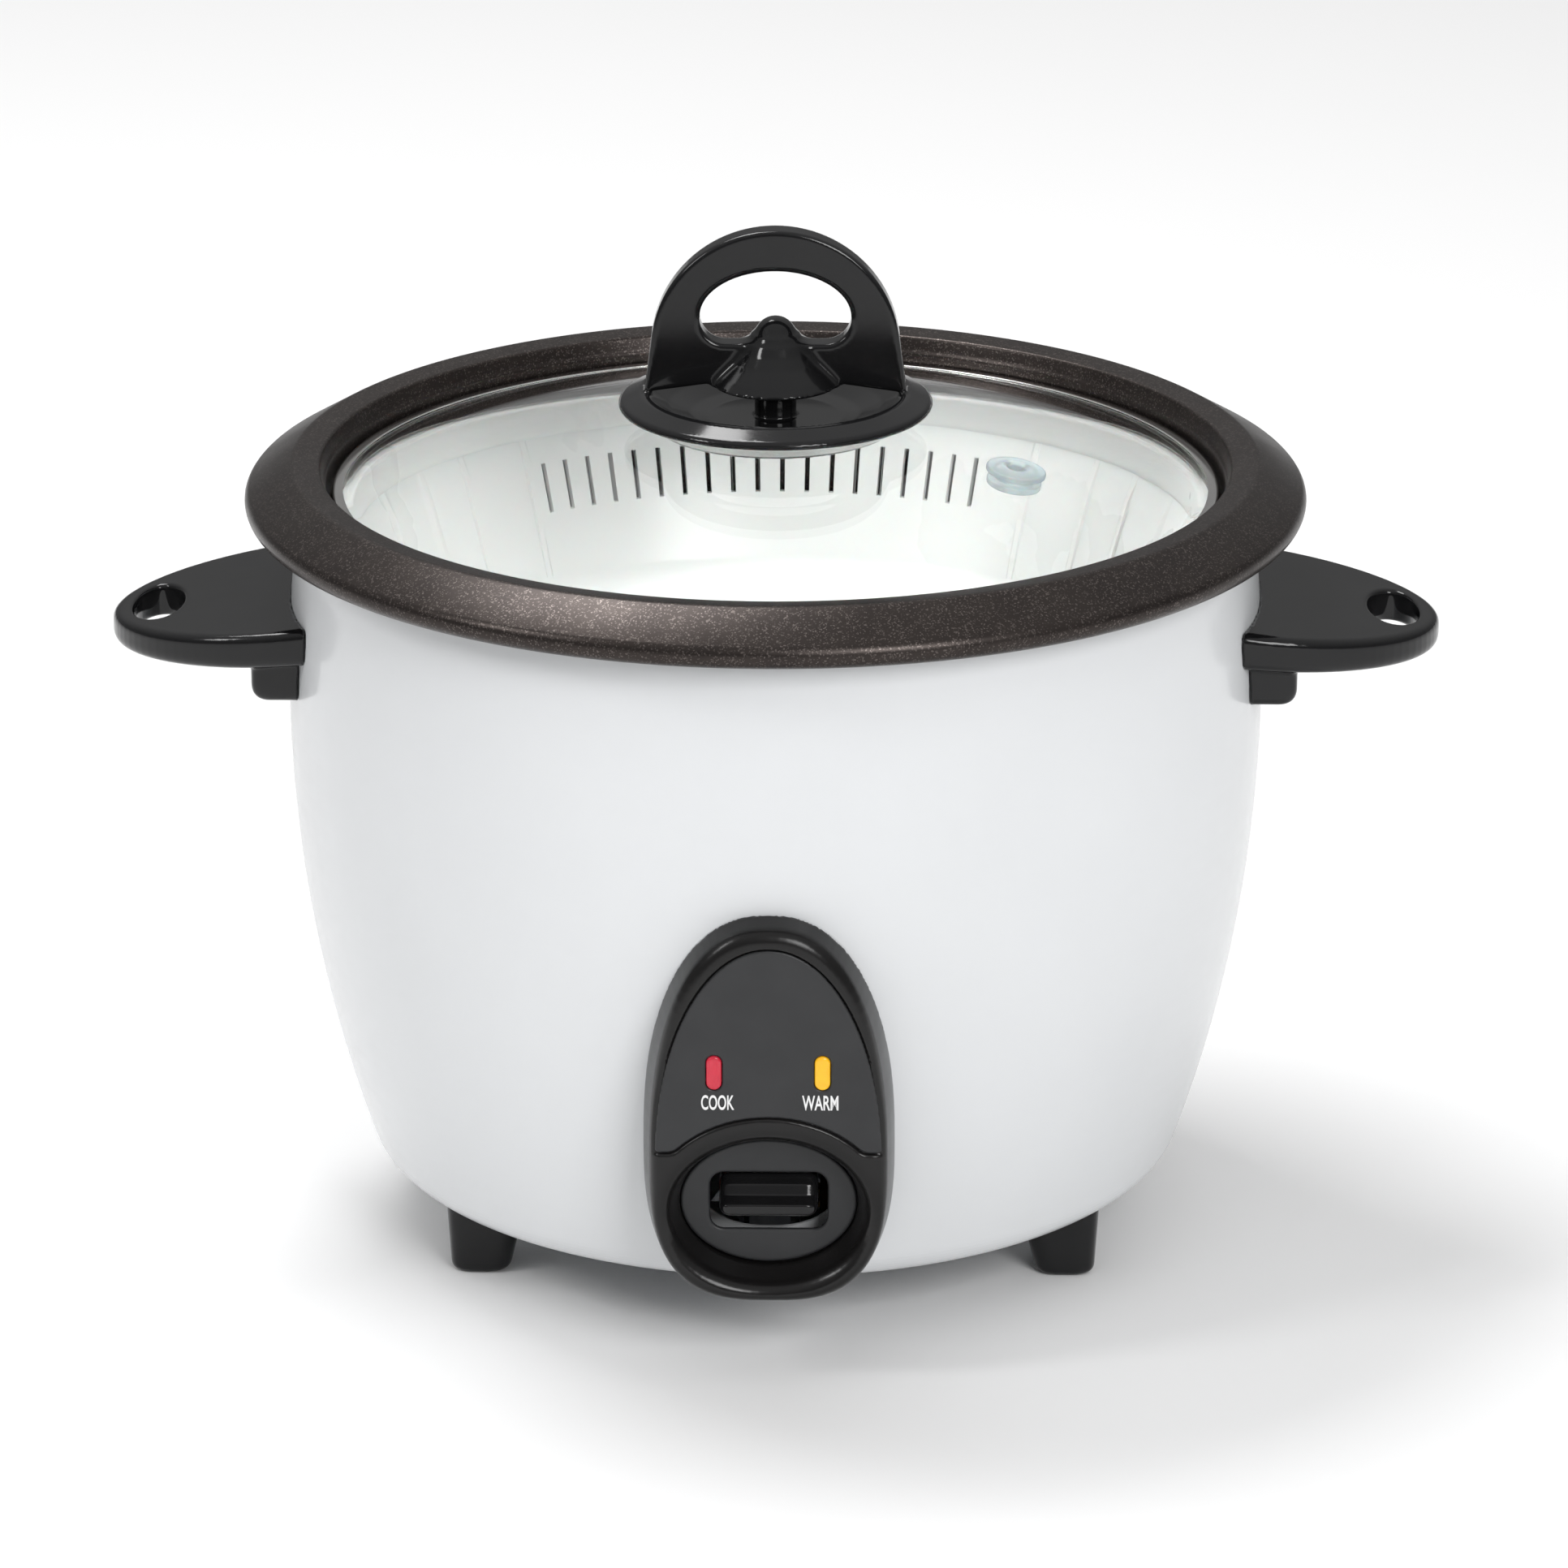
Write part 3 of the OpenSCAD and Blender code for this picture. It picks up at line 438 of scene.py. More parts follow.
def foot_rule(x, y, z):
    across = x - FOOT_X
    outer = across - 8.9 - 1.1 * z / SHELL_LOW
    inner = -across - 5.7 - 4.3 * z / SHELL_LOW
    front = np.abs(y - FOOT_Y) - FOOT_DEEP / 2 + 0.4 * (1 - z / SHELL_LOW)
    sides = smooth_max(smooth_max(outer, inner, 5.0), front, 5.0)
    body = smooth_max(smooth_max(sides, -z, 2.4), z - SHELL_LOW + 0.02, 0.6)
    bore = np.hypot(across, y - FOOT_Y)
    recess = np.maximum(bore - 4.0, z - 7.0)
    return np.maximum(np.maximum(body, -recess), -(bore - 2.2))


BLACK_GLOSS = finish("black gloss plastic", (0.006, 0.006, 0.0065), (0.0075, 0.0075, 0.008), patch=0.015,
                     rough=0.11, spread=0.03, grain=0.004, depth=0.000006, Specular_IOR_Level=0.34)
foot = mould("foot", foot_rule, (60, 36, 0), (82, 54, 18), 0.6)
feet = joined("feet_moulded", [mirrored(foot, f"foot_{x}_{y}", x, y) for x in (-1, 1) for y in (-1, 1)])
fit("feet_moulded", feet, BLACK_GLOSS, "housing", "black_gloss", "feet")

# ---------------------------------------------------------------- liner and hot plate
# A drawn aluminium liner hangs from the shell's lip and guides the pot. On its floor, three
# ceramic posts carry the cast hot plate, whose sheathed element is pressed in from below.
LINER = turned(finish("drawn aluminium", (0.72, 0.72, 0.73), (0.66, 0.67, 0.69), patch=0.03, rough=0.34,
                      spread=0.05, Metallic=1.0), 0.0011, 0.00001)
CASTING = turned(finish("turned aluminium casting", (0.66, 0.66, 0.67), (0.56, 0.56, 0.57), patch=0.012,
                        rough=0.4, spread=0.07, Metallic=1.0), 0.0005, 0.00002)
SHEATH = finish("heat-darkened sheath", (0.17, 0.15, 0.13), (0.10, 0.085, 0.08), patch=0.006, rough=0.5,
                spread=0.08, grain=0.001, depth=0.00002, Metallic=0.85)
CERAMIC = finish("unglazed ceramic", (0.78, 0.75, 0.68), (0.70, 0.66, 0.58), patch=0.003, rough=0.75,
                 spread=0.06, grain=0.0004, depth=0.00004)
HEATER_BAND = finish("woven heater band", (0.42, 0.31, 0.17), (0.32, 0.23, 0.12), patch=0.002, rough=0.85,
                     spread=0.05, grain=0.0006, depth=0.0001)
coat(LINER, "inner_liner")
coat(CASTING, "heating_plate", "sensor_cap")
coat(SHEATH, "heating_element")
coat(CERAMIC, "plate_posts")
coat(HEATER_BAND, "warm_heater")

# ---------------------------------------------------------------- thermostat and switch gear
# A spring-loaded cap in the hot plate carries a ferrite disc. The lever lifts a magnet to it,
# and closes brass leaves in a phenolic block. Short leads run to the inlet and the lamps.
SPRING_WIRE = finish("drawn spring wire", (0.38, 0.38, 0.39), (0.28, 0.28, 0.29), patch=0.003, rough=0.3,
                     spread=0.06, grain=0.0006, depth=0.000006, Metallic=1.0)
BRASS = finish("brass", (0.78, 0.58, 0.27), (0.62, 0.44, 0.19), patch=0.004, rough=0.28, spread=0.07,
               grain=0.001, depth=0.000006, Metallic=1.0)
FERRITE = finish("ground ferrite", (0.05, 0.05, 0.055), (0.035, 0.035, 0.04), patch=0.003, rough=0.45,
                 spread=0.08, grain=0.0007, depth=0.00002, Metallic=0.2)
PHENOLIC = finish("brown phenolic", (0.13, 0.05, 0.022), (0.09, 0.032, 0.015), patch=0.003, rough=0.42,
                  spread=0.06, grain=0.0009, depth=0.00001)
BOARD = finish("circuit board", (0.02, 0.13, 0.05), (0.014, 0.09, 0.035), patch=0.003, rough=0.38,
               spread=0.05, grain=0.0009, depth=0.00001)
LEAD_SLEEVE = finish("lead sleeving", (0.42, 0.035, 0.022), (0.33, 0.025, 0.017), patch=0.006, rough=0.5,
                     spread=0.06, grain=0.0012, depth=0.00002)
LAMP_GLASS = finish("neon lamp glass", (0.9, 0.66, 0.48), (0.86, 0.58, 0.4), patch=0.002, rough=0.08,
                    spread=0.02, grain=0.002, depth=0.000002, Coat_Weight=0.5)
coat(SPRING_WIRE, "sensor_spring", "return_spring")
coat(BRASS, "contact_leaves", "inlet_pins", "magnet_rod", "thermal_fuse")
coat(FERRITE, "sensor_magnet", "ferrite_disc")
coat(PHENOLIC, "contact_block")
coat(BOARD, "lamp_board")
coat(LEAD_SLEEVE, "wiring")
coat(LAMP_GLASS, "indicator_lamps")

# ---------------------------------------------------------------- cooking pot
# Spun aluminium with a bronze-black nonstick coating full of mica flecks. Its wide rim runs
# out over the shell, with a crisp crest, a sloping shoulder and a nose rolled under.
RIM_R = 1000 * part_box("cooking_pot")[1][0]
RIM_Z = 1000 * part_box("cooking_pot")[1][2]
CREST_R = 120.3
NOSE_R = 3.5
SLOPE = math.radians(57.8)
NECK_R = 112.0
SEAT_Z = 184.9
SEAT_R = 107.2
POT_FLOOR = 1000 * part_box("cooking_pot")[0][2]
POT_CORNER = 30.0
WALL_LEAN = math.radians(4.93)
POT_T = 1.6


def pot_side(thick):
    """The pot's floor, corner and side, moved in by the sheet's thickness."""
    corner = arc(71, POT_FLOOR + POT_CORNER, POT_CORNER - thick, -math.pi / 2, -WALL_LEAN, 14)
    return [(0.0, POT_FLOOR + thick), (40.0, POT_FLOOR + thick)] + corner


def pot_outline():
    nose_x, nose_z = RIM_R - NOSE_R, RIM_Z - 9.0
    under = rounded([(SEAT_R + 1.5, SEAT_Z - POT_T, 1.2), (NECK_R + 1.7, SEAT_Z - POT_T, 1.0),
                     (NECK_R + 3.0, RIM_Z - 2.4, 1.0), (CREST_R - 0.6, RIM_Z - 1.8, 1.0)] +
                    [(x, z, 0) for x, z in arc(nose_x, nose_z, NOSE_R - POT_T, SLOPE, -1.3, 8)])
    shoulder = arc(nose_x, nose_z, NOSE_R, -1.3, SLOPE, 14)
    crest = rounded([(*shoulder[-1], 0), (CREST_R, RIM_Z + 0.02, 0.9), (NECK_R + 1.7, RIM_Z - 0.8, 0.7),
                     (NECK_R + 0.7, RIM_Z - 4.2, 0.6), (NECK_R + 0.2, RIM_Z - 5.0, 0.5),
                     (NECK_R, SEAT_Z + 0.1, 0.5), (SEAT_R, SEAT_Z, 0.9),
                     (SEAT_R - 1.0, SEAT_Z - 11.0, 0)])
    return pot_side(0)[:] + under[:-1] + shoulder[:-1] + crest[1:-1] + pot_side(POT_T)[::-1]


def mica_flecks():
    """Tiny flakes in a coating: each cell of the pattern is a little lighter or darker."""
    tree, given, out = effect(
        "mica flecks", {"Colour": (0.1, 0.1, 0.1, 1), "Fleck": (0.4, 0.35, 0.3, 1), "Size": 0.0004,
                        "Share": 0.2},
        {"Color": "Color", "Flecks": "Float"})
    place_of = put(tree, "TexCoord").outputs["Object"]
    cells = put(tree, "TexVoronoi", Vector=place_of, Scale=one_over(tree, given["Size"]))
    lot = put(tree, "SeparateColor", cells.outputs["Color"])
    least = put(tree, "Math", 1.0, given["Share"])
    least.operation = "SUBTRACT"
    picked = put(tree, "MapRange", lot.outputs[0], least.outputs[0], 1.0, 0.0, 1.0).outputs[0]
    tree.links.new(mixed(tree, picked, given["Colour"], given["Fleck"]), out["Color"])
    tree.links.new(picked, out["Flecks"])
    return tree


MICA_FLECKS = mica_flecks()


def nonstick():
    material = finish("bronze nonstick", (0.034, 0.028, 0.026), (0.040, 0.033, 0.030), patch=0.01, rough=0.34,
                      spread=0.03, grain=0.0004, depth=0.000012, Metallic=0.8, Specular_IOR_Level=0.3)
    tree = material.node_tree
    shader = tree.nodes["Principled BSDF"]
    drift = shader.inputs["Base Color"].links[0].from_socket
    flecks = place(tree, MICA_FLECKS, Colour=drift, Fleck=(0.12, 0.102, 0.095, 1), Size=0.00032, Share=0.22)
    tree.links.new(flecks.outputs[0], shader.inputs["Base Color"])
    return material


NONSTICK = nonstick()
fit("pot_spun", tidy(spin("pot_spun", pot_outline(), 320), 50), NONSTICK, "pot", "bronze_nonstick",
    "cooking_pot")

# ---------------------------------------------------------------- steaming basket
# A white polypropylene basket that hangs on the pot's seat. Two groups of slits let steam in,
# and low ribs stiffen the side between the groups.
BASKET_LOW = 1000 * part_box("steamer_basket")[0][2]
BASKET_HIGH = 1000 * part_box("steamer_basket")[1][2]
BASKET_T = 1.6
BASKET_CORNER = 8.0
DRAFT = math.radians(18)
SHOULDER_R, SHOULDER_Z = 105.5, 178.0
SLIT_LOW, SLIT_HIGH = 159.5, 171.8
SLIT_COUNT = 19
SLIT_PITCH = 3.75
SLIT_TURN = 3.5
SLIT_HALF = math.degrees(0.65 / 100)
RIB_PLACES = (40.0, 52.0, 61.5, 73.0)


def basket_side(thick):
    """Floor, corner and leaning side, moved in by the wall's thickness."""
    middle_z = BASKET_LOW + BASKET_CORNER
    middle_x = SHOULDER_R - (SHOULDER_Z - middle_z) * math.tan(DRAFT) - BASKET_CORNER / math.cos(DRAFT)
    top_r = SHOULDER_R - thick / math.cos(DRAFT)
    corner = arc(middle_x, middle_z, BASKET_CORNER - thick, -math.pi / 2, -DRAFT, 8)
    side = [(top_r - (SHOULDER_Z - z) * math.tan(DRAFT), z)
            for z in (SLIT_LOW, SLIT_HIGH, SHOULDER_Z)]
    return [(0.0, BASKET_LOW + thick), (60.0, BASKET_LOW + thick)] + corner + side


def basket_mesh():
    outer = basket_side(0)
    inner = basket_side(BASKET_T)
    flange_low = BASKET_HIGH - 1.45
    brim = rounded([(*outer[-1], 1.5), (106.0, flange_low, 0.6), (111.4, flange_low, 0.4),
                    (111.4, BASKET_HIGH, 0.5), (104.6, BASKET_HIGH, 1.2), (*inner[-1], 2.0)], 4)[1:-1]
    loop = outer[:-1] + brim + inner[:-1][::-1]
    count = len(loop)
    slit_rows = {}
    for i in range(count):
        j = (i + 1) % count
        heights = sorted((loop[i][1], loop[j][1]))
        if abs(heights[0] - SLIT_LOW) < 1e-6 and abs(heights[1] - SLIT_HIGH) < 1e-6:
            slit_rows[i] = loop[i][0]
    centres = [(side + SLIT_TURN + SLIT_PITCH * (k - (SLIT_COUNT - 1) / 2)) % 360
               for side in (90, 270) for k in range(SLIT_COUNT)]
    edges = [c - SLIT_HALF for c in centres] + [c + SLIT_HALF for c in centres]
    ribs = [side + way * place for side in (90, 270) for way in (-1, 1) for place in RIB_PLACES]
    rib_edges = [r % 360 + d for r in ribs for d in (-0.9, -0.45, 0.45, 0.9)]
    turns = sorted(set(round(t % 360, 5) for t in edges + rib_edges + list(np.arange(0, 360, 1.333))))
    ridge_rows = [i for i in range(count) if i > count / 2 and 146 < loop[i][1] < 177]
    verts = []
    for turn in turns:
        a = math.radians(turn)
        raised = any(abs((turn - r + 180) % 360 - 180) < 0.5 for r in ribs)
        for i, (r, z) in enumerate(loop):
            reach = r - (0.7 if raised and i in ridge_rows else 0.0)
            verts.append((reach * math.cos(a) * MM, reach * math.sin(a) * MM, z * MM))
    faces = []
    rows = list(slit_rows)
    for s, turn in enumerate(turns):
        n = (s + 1) % len(turns)
        step = (turns[n] - turn) % 360
        middle = turn + step / 2
        open_here = any(abs((middle - c + 180) % 360 - 180) < SLIT_HALF for c in centres)
        for i in range(count):
            j = (i + 1) % count
            if loop[i][0] < 0.01 and loop[j][0] < 0.01:
                continue
            if open_here and i in slit_rows:
                continue
            faces.append((s * count + i, n * count + i, n * count + j, s * count + j))
        if open_here:
            low_out, high_out = rows[0], rows[0] + 1
            high_in, low_in = rows[1], rows[1] + 1
            a, b = s * count, n * count
            faces.append((a + low_out, b + low_out, b + low_in, a + low_in))
            faces.append((a + high_out, b + high_out, b + high_in, a + high_in))
            faces.append((a + low_out, a + high_out, a + high_in, a + low_in))
            faces.append((b + low_out, b + high_out, b + high_in, b + low_in))
    mesh = bpy.data.meshes.new("basket_moulded")
    mesh.from_pydata(verts, [], faces)
    return tidy(mesh, 30)


WHITE_PLASTIC = finish("white basket plastic", (0.65, 0.655, 0.645), (0.63, 0.637, 0.626), patch=0.03,
                       rough=0.3, spread=0.05, grain=0.002, depth=0.00001, Subsurface_Weight=0.15,
                       Subsurface_Scale=0.004, Coat_Weight=0.15, Coat_Roughness=0.2)
fit("basket_moulded", basket_mesh(), WHITE_PLASTIC, "basket", "white_plastic", "steamer_basket")

# ---------------------------------------------------------------- lid glass and ring
# A dome of 4 mm tempered glass, faintly green at its edge. A thin stainless channel is rolled
# round it, and a clear silicone grommet lets the steam out.
DOME_R = 358.0
DOME_TOP = 208.8
GLASS_T = 4.0
RING_R = 1000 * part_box("lid_ring")[1][0]
RING_LOW = 1000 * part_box("lid_ring")[0][2]
RING_HIGH = 1000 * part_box("lid_ring")[1][2]
DOME_Z = DOME_TOP - DOME_R


def dome_height(radius, sphere=DOME_R):
    return DOME_Z + np.sqrt(sphere * sphere - radius * radius)


def glass_outline():
    edge = RING_R - 0.95
    radii = np.linspace(4.0, edge - 0.8, 40)
    top = [(r, float(dome_height(r))) for r in radii]
    under = [(r, float(dome_height(r, DOME_R - GLASS_T))) for r in radii[::-1]]
    rim_top = float(dome_height(edge))
    rim_low = float(dome_height(edge, DOME_R - GLASS_T))
    return top + [(edge, rim_top - 0.5), (edge, rim_low + 0.6)] + under


def ring_outline():
    leg = 0.35
    return rounded([
        (106.4, RING_LOW, 0.12), (RING_R - 0.1, RING_LOW, 0.9), (RING_R, RING_HIGH, 0.9),
        (107.9, RING_HIGH - 0.05, 0.15), (107.9, RING_HIGH - leg - 0.02, 0.1),
        (RING_R - 0.45, RING_HIGH - leg, 0.5), (RING_R - 0.45, RING_LOW + leg, 0.4),
        (106.4, RING_LOW + leg, 0.12)], 4)


def clear_glass():
    material = finish("lid glass", (0.986, 0.994, 0.989), (0.982, 0.992, 0.986), patch=0.05, rough=0.012,
                      spread=0.008, grain=0.05, depth=0.00001, Transmission_Weight=1.0, IOR=1.5)
    tree = material.node_tree
    shader = tree.nodes["Principled BSDF"]
    clear = put(tree, "BsdfTransparent", Color=(0.976, 0.984, 0.979, 1))
    lamp_rays = put(tree, "LightPath").outputs["Is Shadow Ray"]
    blend = put(tree, "MixShader", lamp_rays, shader.outputs[0], clear.outputs[0])
    tree.links.new(blend.outputs[0], tree.nodes["Material Output"].inputs["Surface"])
    return material


CLEAR_GLASS = clear_glass()
STAINLESS = turned(finish("bright stainless", (0.74, 0.73, 0.71), (0.68, 0.67, 0.66), patch=0.02, rough=0.14,
                          spread=0.03, Metallic=1.0), 0.0004, 0.000003)
fit("glass_dome", tidy(spin("glass_dome", glass_outline(), 256), 40), CLEAR_GLASS, "lid", "lid_glass",
    "lid_glass")
fit("ring_rolled", tidy(spin("ring_rolled", ring_outline(), 320), 40), STAINLESS, "lid", "stainless",
    "lid_ring")

VENT_REACH = 64.5
VENT_TURN = math.radians(-22.8)


def vent_mesh():
    """The grommet, made upright, then set square to the dome where it stands."""
    low = -GLASS_T - 1.8
    outline = rounded([
        (2.2, 1.5, 0.5), (3.4, 1.9, 0.4), (5.6, 1.5, 0.5), (7.5, 1.4, 0.6), (7.5, 0.12, 0.3),
        (4.9, 0.1, 0.2), (4.9, -GLASS_T - 0.2, 0.1), (6.8, -GLASS_T - 0.25, 0.3), (6.8, low, 0.6),
        (2.2, low, 0.4)], 4)
    mesh = spin("steam_grommet", outline, 64)
    tilt = math.asin(VENT_REACH / DOME_R)
    height = float(dome_height(VENT_REACH))
    mesh.transform(Matrix.Rotation(VENT_TURN, 4, "Z")
                   @ Matrix.Translation((VENT_REACH * MM, 0, height * MM))
                   @ Matrix.Rotation(tilt, 4, "Y"))
    return tidy(mesh, 50)


SILICONE = finish("clear silicone", (0.84, 0.92, 0.94), (0.80, 0.90, 0.93), patch=0.003, rough=0.22,
                  spread=0.05, grain=0.001, depth=0.000008, Transmission_Weight=0.75, IOR=1.41,
                  Subsurface_Weight=0.4, Subsurface_Scale=0.003)
fit("steam_grommet", vent_mesh(), SILICONE, "lid", "clear_silicone", "steam_vent")

# ---------------------------------------------------------------- lid handle
# One black gloss moulding: a dished foot on the glass, a flat arch with a finger window, and
# a bell-shaped boss that takes the screw from below.
DISH_FLOOR = 210.0
STEM_R = 5.2
ARCH_TOP = 1000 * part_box("lid_handle")[1][2]
ARCH_R, ARCH_HALF = 31.0, 3.4
WINDOW_SILL, WINDOW_TOP, WINDOW_WAIST, WINDOW_HALF = 229.3, 247.9, 236.1, 18.8


def arch_outline():
    top = arc(0, ARCH_TOP - ARCH_R, ARCH_R, math.radians(8), math.radians(172), 48)
    return [(30.5, 217.0), (33.0, 214.0)] + top + [(-33.0, 214.0), (-30.5, 217.0), (-12.0, 219.6),
                                                   (12.0, 219.6)]


def window_outline():
    lobe = [(WINDOW_HALF * math.cos(a), WINDOW_WAIST + (WINDOW_TOP - WINDOW_WAIST) * math.sin(a))
            for a in np.linspace(0, math.pi, 32)]
    corner = 6.5
    left = arc(-WINDOW_HALF + corner, WINDOW_SILL + corner, corner, math.pi, 1.5 * math.pi, 8)
    right = arc(WINDOW_HALF - corner, WINDOW_SILL + corner, corner, -math.pi / 2, 0, 8)
    return lobe + left + right


ARCH = arch_outline()
WINDOW = window_outline()
DISH = [(0.0, 205.0), (27.0, 205.0), (30.0, 208.4), (37.4, 212.3), (38.8, 212.9), (39.0, 213.6),
        (38.3, 214.5), (33.8, 216.5), (32.4, 216.7), (31.2, 216.1), (26.5, 213.0), (21.0, 210.7),
        (16.7, DISH_FLOOR), (0.0, DISH_FLOOR)]
BELL = [(0.0, 206.0), (STEM_R, 206.0), (STEM_R, 215.6), (8.0, 216.6), (13.0, 217.6), (15.8, 218.6),
        (13.9, 220.8), (10.6, 224.3), (8.7, 227.0), (7.4, 229.4), (5.9, 231.2), (0.0, 232.0)]


def lid_handle_rule(x, y, z):
    radius = np.hypot(x, y)
    glass = dome_height(np.minimum(radius, 60)) + 0.12
    dish = edge_distance(radius, z, DISH) - 0.12
    face = np.maximum(edge_distance(x, z, ARCH), -edge_distance(x, z, WINDOW))
    arch = smooth_max(face, np.abs(y) - ARCH_HALF, 1.2)
    tip = np.sqrt(x * x + y * y + (z - 230.4) ** 2) - 5.3
    bell = smooth_min(edge_distance(radius, z, BELL), tip, 2.0)
    body = smooth_min(smooth_min(bell, arch, 2.0), dish, 0.8)
    body = np.maximum(body, glass - z)
    bore = np.maximum(radius - 2.45, z - 224)
    return np.maximum(body, -bore)


handle = mould("lid_handle_moulded", lid_handle_rule, (-40, -40, 206), (40, 40, 259), 0.6)
fit("lid_handle_moulded", handle, BLACK_GLOSS, "lid", "black_gloss", "lid_handle")

# ---------------------------------------------------------------- side handles
# Two black gloss mouldings screwed on from inside the shell. Each is a half-oval plate with a
# deep rolled edge, a hanging hole near its tip and a block that bears on the drum.
ROOT_X = 117.0
HANDLE_TIP = 1000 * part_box("right_handle")[1][0]
HANDLE_HALF = 38.5
HANDLE_TOP, HANDLE_FALL = 165.4, 0.125
HANDLE_LOW, HANDLE_RISE = 155.7, 0.09
BLOCK_LOW = 1000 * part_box("right_handle")[0][2]
HOLE_X, HOLE_RX, HOLE_RY = 155.0, 6.3, 13.5


def drum_distance(x, y, z):
    """Distance outside the painted shell."""
    radius = np.hypot(x, y)
    side = np.hypot(radius - BARREL_X, z - BELLY_Z) - BARREL_R
    corner = np.hypot(np.maximum(radius - CORNER_X, 0), z - CORNER_Z) - CORNER_R
    low = np.arctan2(z - CORNER_Z, radius - CORNER_X) < TANGENT
    return np.where(low, corner, side)


def handle_plan():
    reach = HANDLE_TIP - ROOT_X
    turns = np.linspace(-math.pi / 2, math.pi / 2, 49)
    nose = [(ROOT_X + reach * math.cos(t) ** 1.05,
             HANDLE_HALF * math.copysign(abs(math.sin(t)) ** 1.05, t)) for t in turns[1:-1]]
    return [(105.0, -HANDLE_HALF), (ROOT_X, -HANDLE_HALF)] + nose + [(ROOT_X, HANDLE_HALF),
                                                                    (105.0, HANDLE_HALF)]


PLAN = handle_plan()
HOLE = [(HOLE_X + HOLE_RX * math.cos(a), HOLE_RY * math.sin(a))
        for a in np.linspace(0, 2 * math.pi, 48, False)]


def side_handle_rule(x, y, z):
    edge = edge_distance(x, y, PLAN)
    hole = edge_distance(x, y, HOLE)
    top = HANDLE_TOP - HANDLE_FALL * (x - ROOT_X)
    low = HANDLE_LOW - HANDLE_RISE * (x - ROOT_X)
    plate = smooth_max(smooth_max(edge, z - top, 2.6), low - z, 3.6)
    hollow = np.maximum(np.maximum(edge + 3.2, z - top + 3.2), np.maximum(130.0 - x, 2.6 - hole))
    plate = smooth_max(plate, -hollow, 0.8)
    block = smooth_max(smooth_max(x - 129.7, BLOCK_LOW - z, 4.5), np.abs(y) - HANDLE_HALF + 5.5, 3.0)
    block = np.maximum(block, z - 159)
    body = smooth_min(plate, block, 2.0)
    body = smooth_max(body, -hole, 1.4)
    return np.maximum(body, 0.12 - drum_distance(x, y, z))


side_handle = mould("right_handle_moulded", side_handle_rule, (112, -39, 144), (168, 39, 166), 0.6)
fit("right_handle_moulded", side_handle, BLACK_GLOSS, "housing", "black_gloss", "right_handle")
fit("left_handle_moulded", mirrored(side_handle, "left_handle_moulded", x=-1), BLACK_GLOSS, "housing",
    "black_gloss", "left_handle")

# ---------------------------------------------------------------- control panel
# A satin black egg-shaped bezel stands on the front of the drum. A dark label plate lies in a
# shallow recess in its face, over an oval well with the switch plate at the bottom.
PANEL_Y, PANEL_Z = 126.7, 60.0
PANEL_LEAN = math.radians(3)
PANEL_HALF, PANEL_UP, PANEL_DOWN = 30.4, 63.1, 38.9
WELL_Y, WELL_DEPTH = -13.7, 9.5
LENS_X, LENS_Y = 13.0, 24.4
INLAY_SINK = 0.45
ON_PANEL = (Matrix.Translation((0, -PANEL_Y * MM, PANEL_Z * MM))
            @ Matrix.Rotation(math.pi / 2 + PANEL_LEAN, 4, "X"))


def egg(half, up, down, n_up, n_down, steps=96):
    """A closed curve, with its own form above and below its widest line."""
    points = []
    for a in np.linspace(0, 2 * math.pi, steps, endpoint=False):
        power = 2 / (n_up if a <= math.pi else n_down)
        high = up if a <= math.pi else down
        points.append((half * math.copysign(abs(math.cos(a)) ** power, math.cos(a)),
                       high * math.copysign(abs(math.sin(a)) ** power, math.sin(a))))
    return points


def oval(rx, ry, y=0.0, steps=72):
    return [(rx * math.cos(a), y + ry * math.sin(a)) for a in np.linspace(0, 2 * math.pi, steps, False)]


PANEL_EGG = egg(PANEL_HALF, PANEL_UP, PANEL_DOWN, 2.3, 2.85)
INLAY_EGG = egg(27.3, 56.3, 30.0, 2.05, 2.05)
INLAY_BITE = oval(30.0, 26.4, WELL_Y)
WELL_OVAL = oval(24.4, 20.0, WELL_Y)


def inlay_distance(x, y):
    """Distance to the label plate's outline, with its two lower points rounded."""
    return smooth_max(smooth_max(edge_distance(x, y, INLAY_EGG), -edge_distance(x, y, INLAY_BITE), 2.2),
                      3.4 - y, 1.2)


def pill_distance(x, y, half_w, half_h):
    return np.hypot(x, np.maximum(np.abs(y) - (half_h - half_w), 0)) - half_w


def bezel_rule(x, y, z):
    egg_edge = edge_distance(x, y, PANEL_EGG)
    well_edge = edge_distance(x, y, WELL_OVAL)
    draft = 2.4 * np.clip((z + 14) / 14, 0, 1) ** 1.4
    body = smooth_max(egg_edge + draft, z, 3.4)
    slope = -np.clip(z, -WELL_DEPTH, 0) / WELL_DEPTH
    well = np.maximum((well_edge + 2.9 * slope ** 1.15) * 0.93, -WELL_DEPTH - 1.6 - z)
    body = smooth_max(body, -well, 4.2)
    inlay = np.maximum(inlay_distance(x, y) - 0.35, -1.0 - z)
    body = smooth_max(body, -inlay, 0.9)
    tube = np.maximum(well_edge - 1.9 - 0.25 * (z + 1), -13.0 - z)
    cavity = np.maximum(np.maximum(egg_edge + 4.4, z + 2.4), -tube)
    body = np.maximum(np.maximum(body, -cavity), -(well_edge + 4.7))
    lens = pill_distance(np.abs(x) - LENS_X, y - LENS_Y, 2.05, 4.6)
    body = np.maximum(body, -lens)
    out_y = -PANEL_Y - y * math.sin(PANEL_LEAN) - z * math.cos(PANEL_LEAN)
    up_z = PANEL_Z + y * math.cos(PANEL_LEAN) - z * math.sin(PANEL_LEAN)
    return np.maximum(body, 0.12 - drum_distance(x, out_y, up_z))


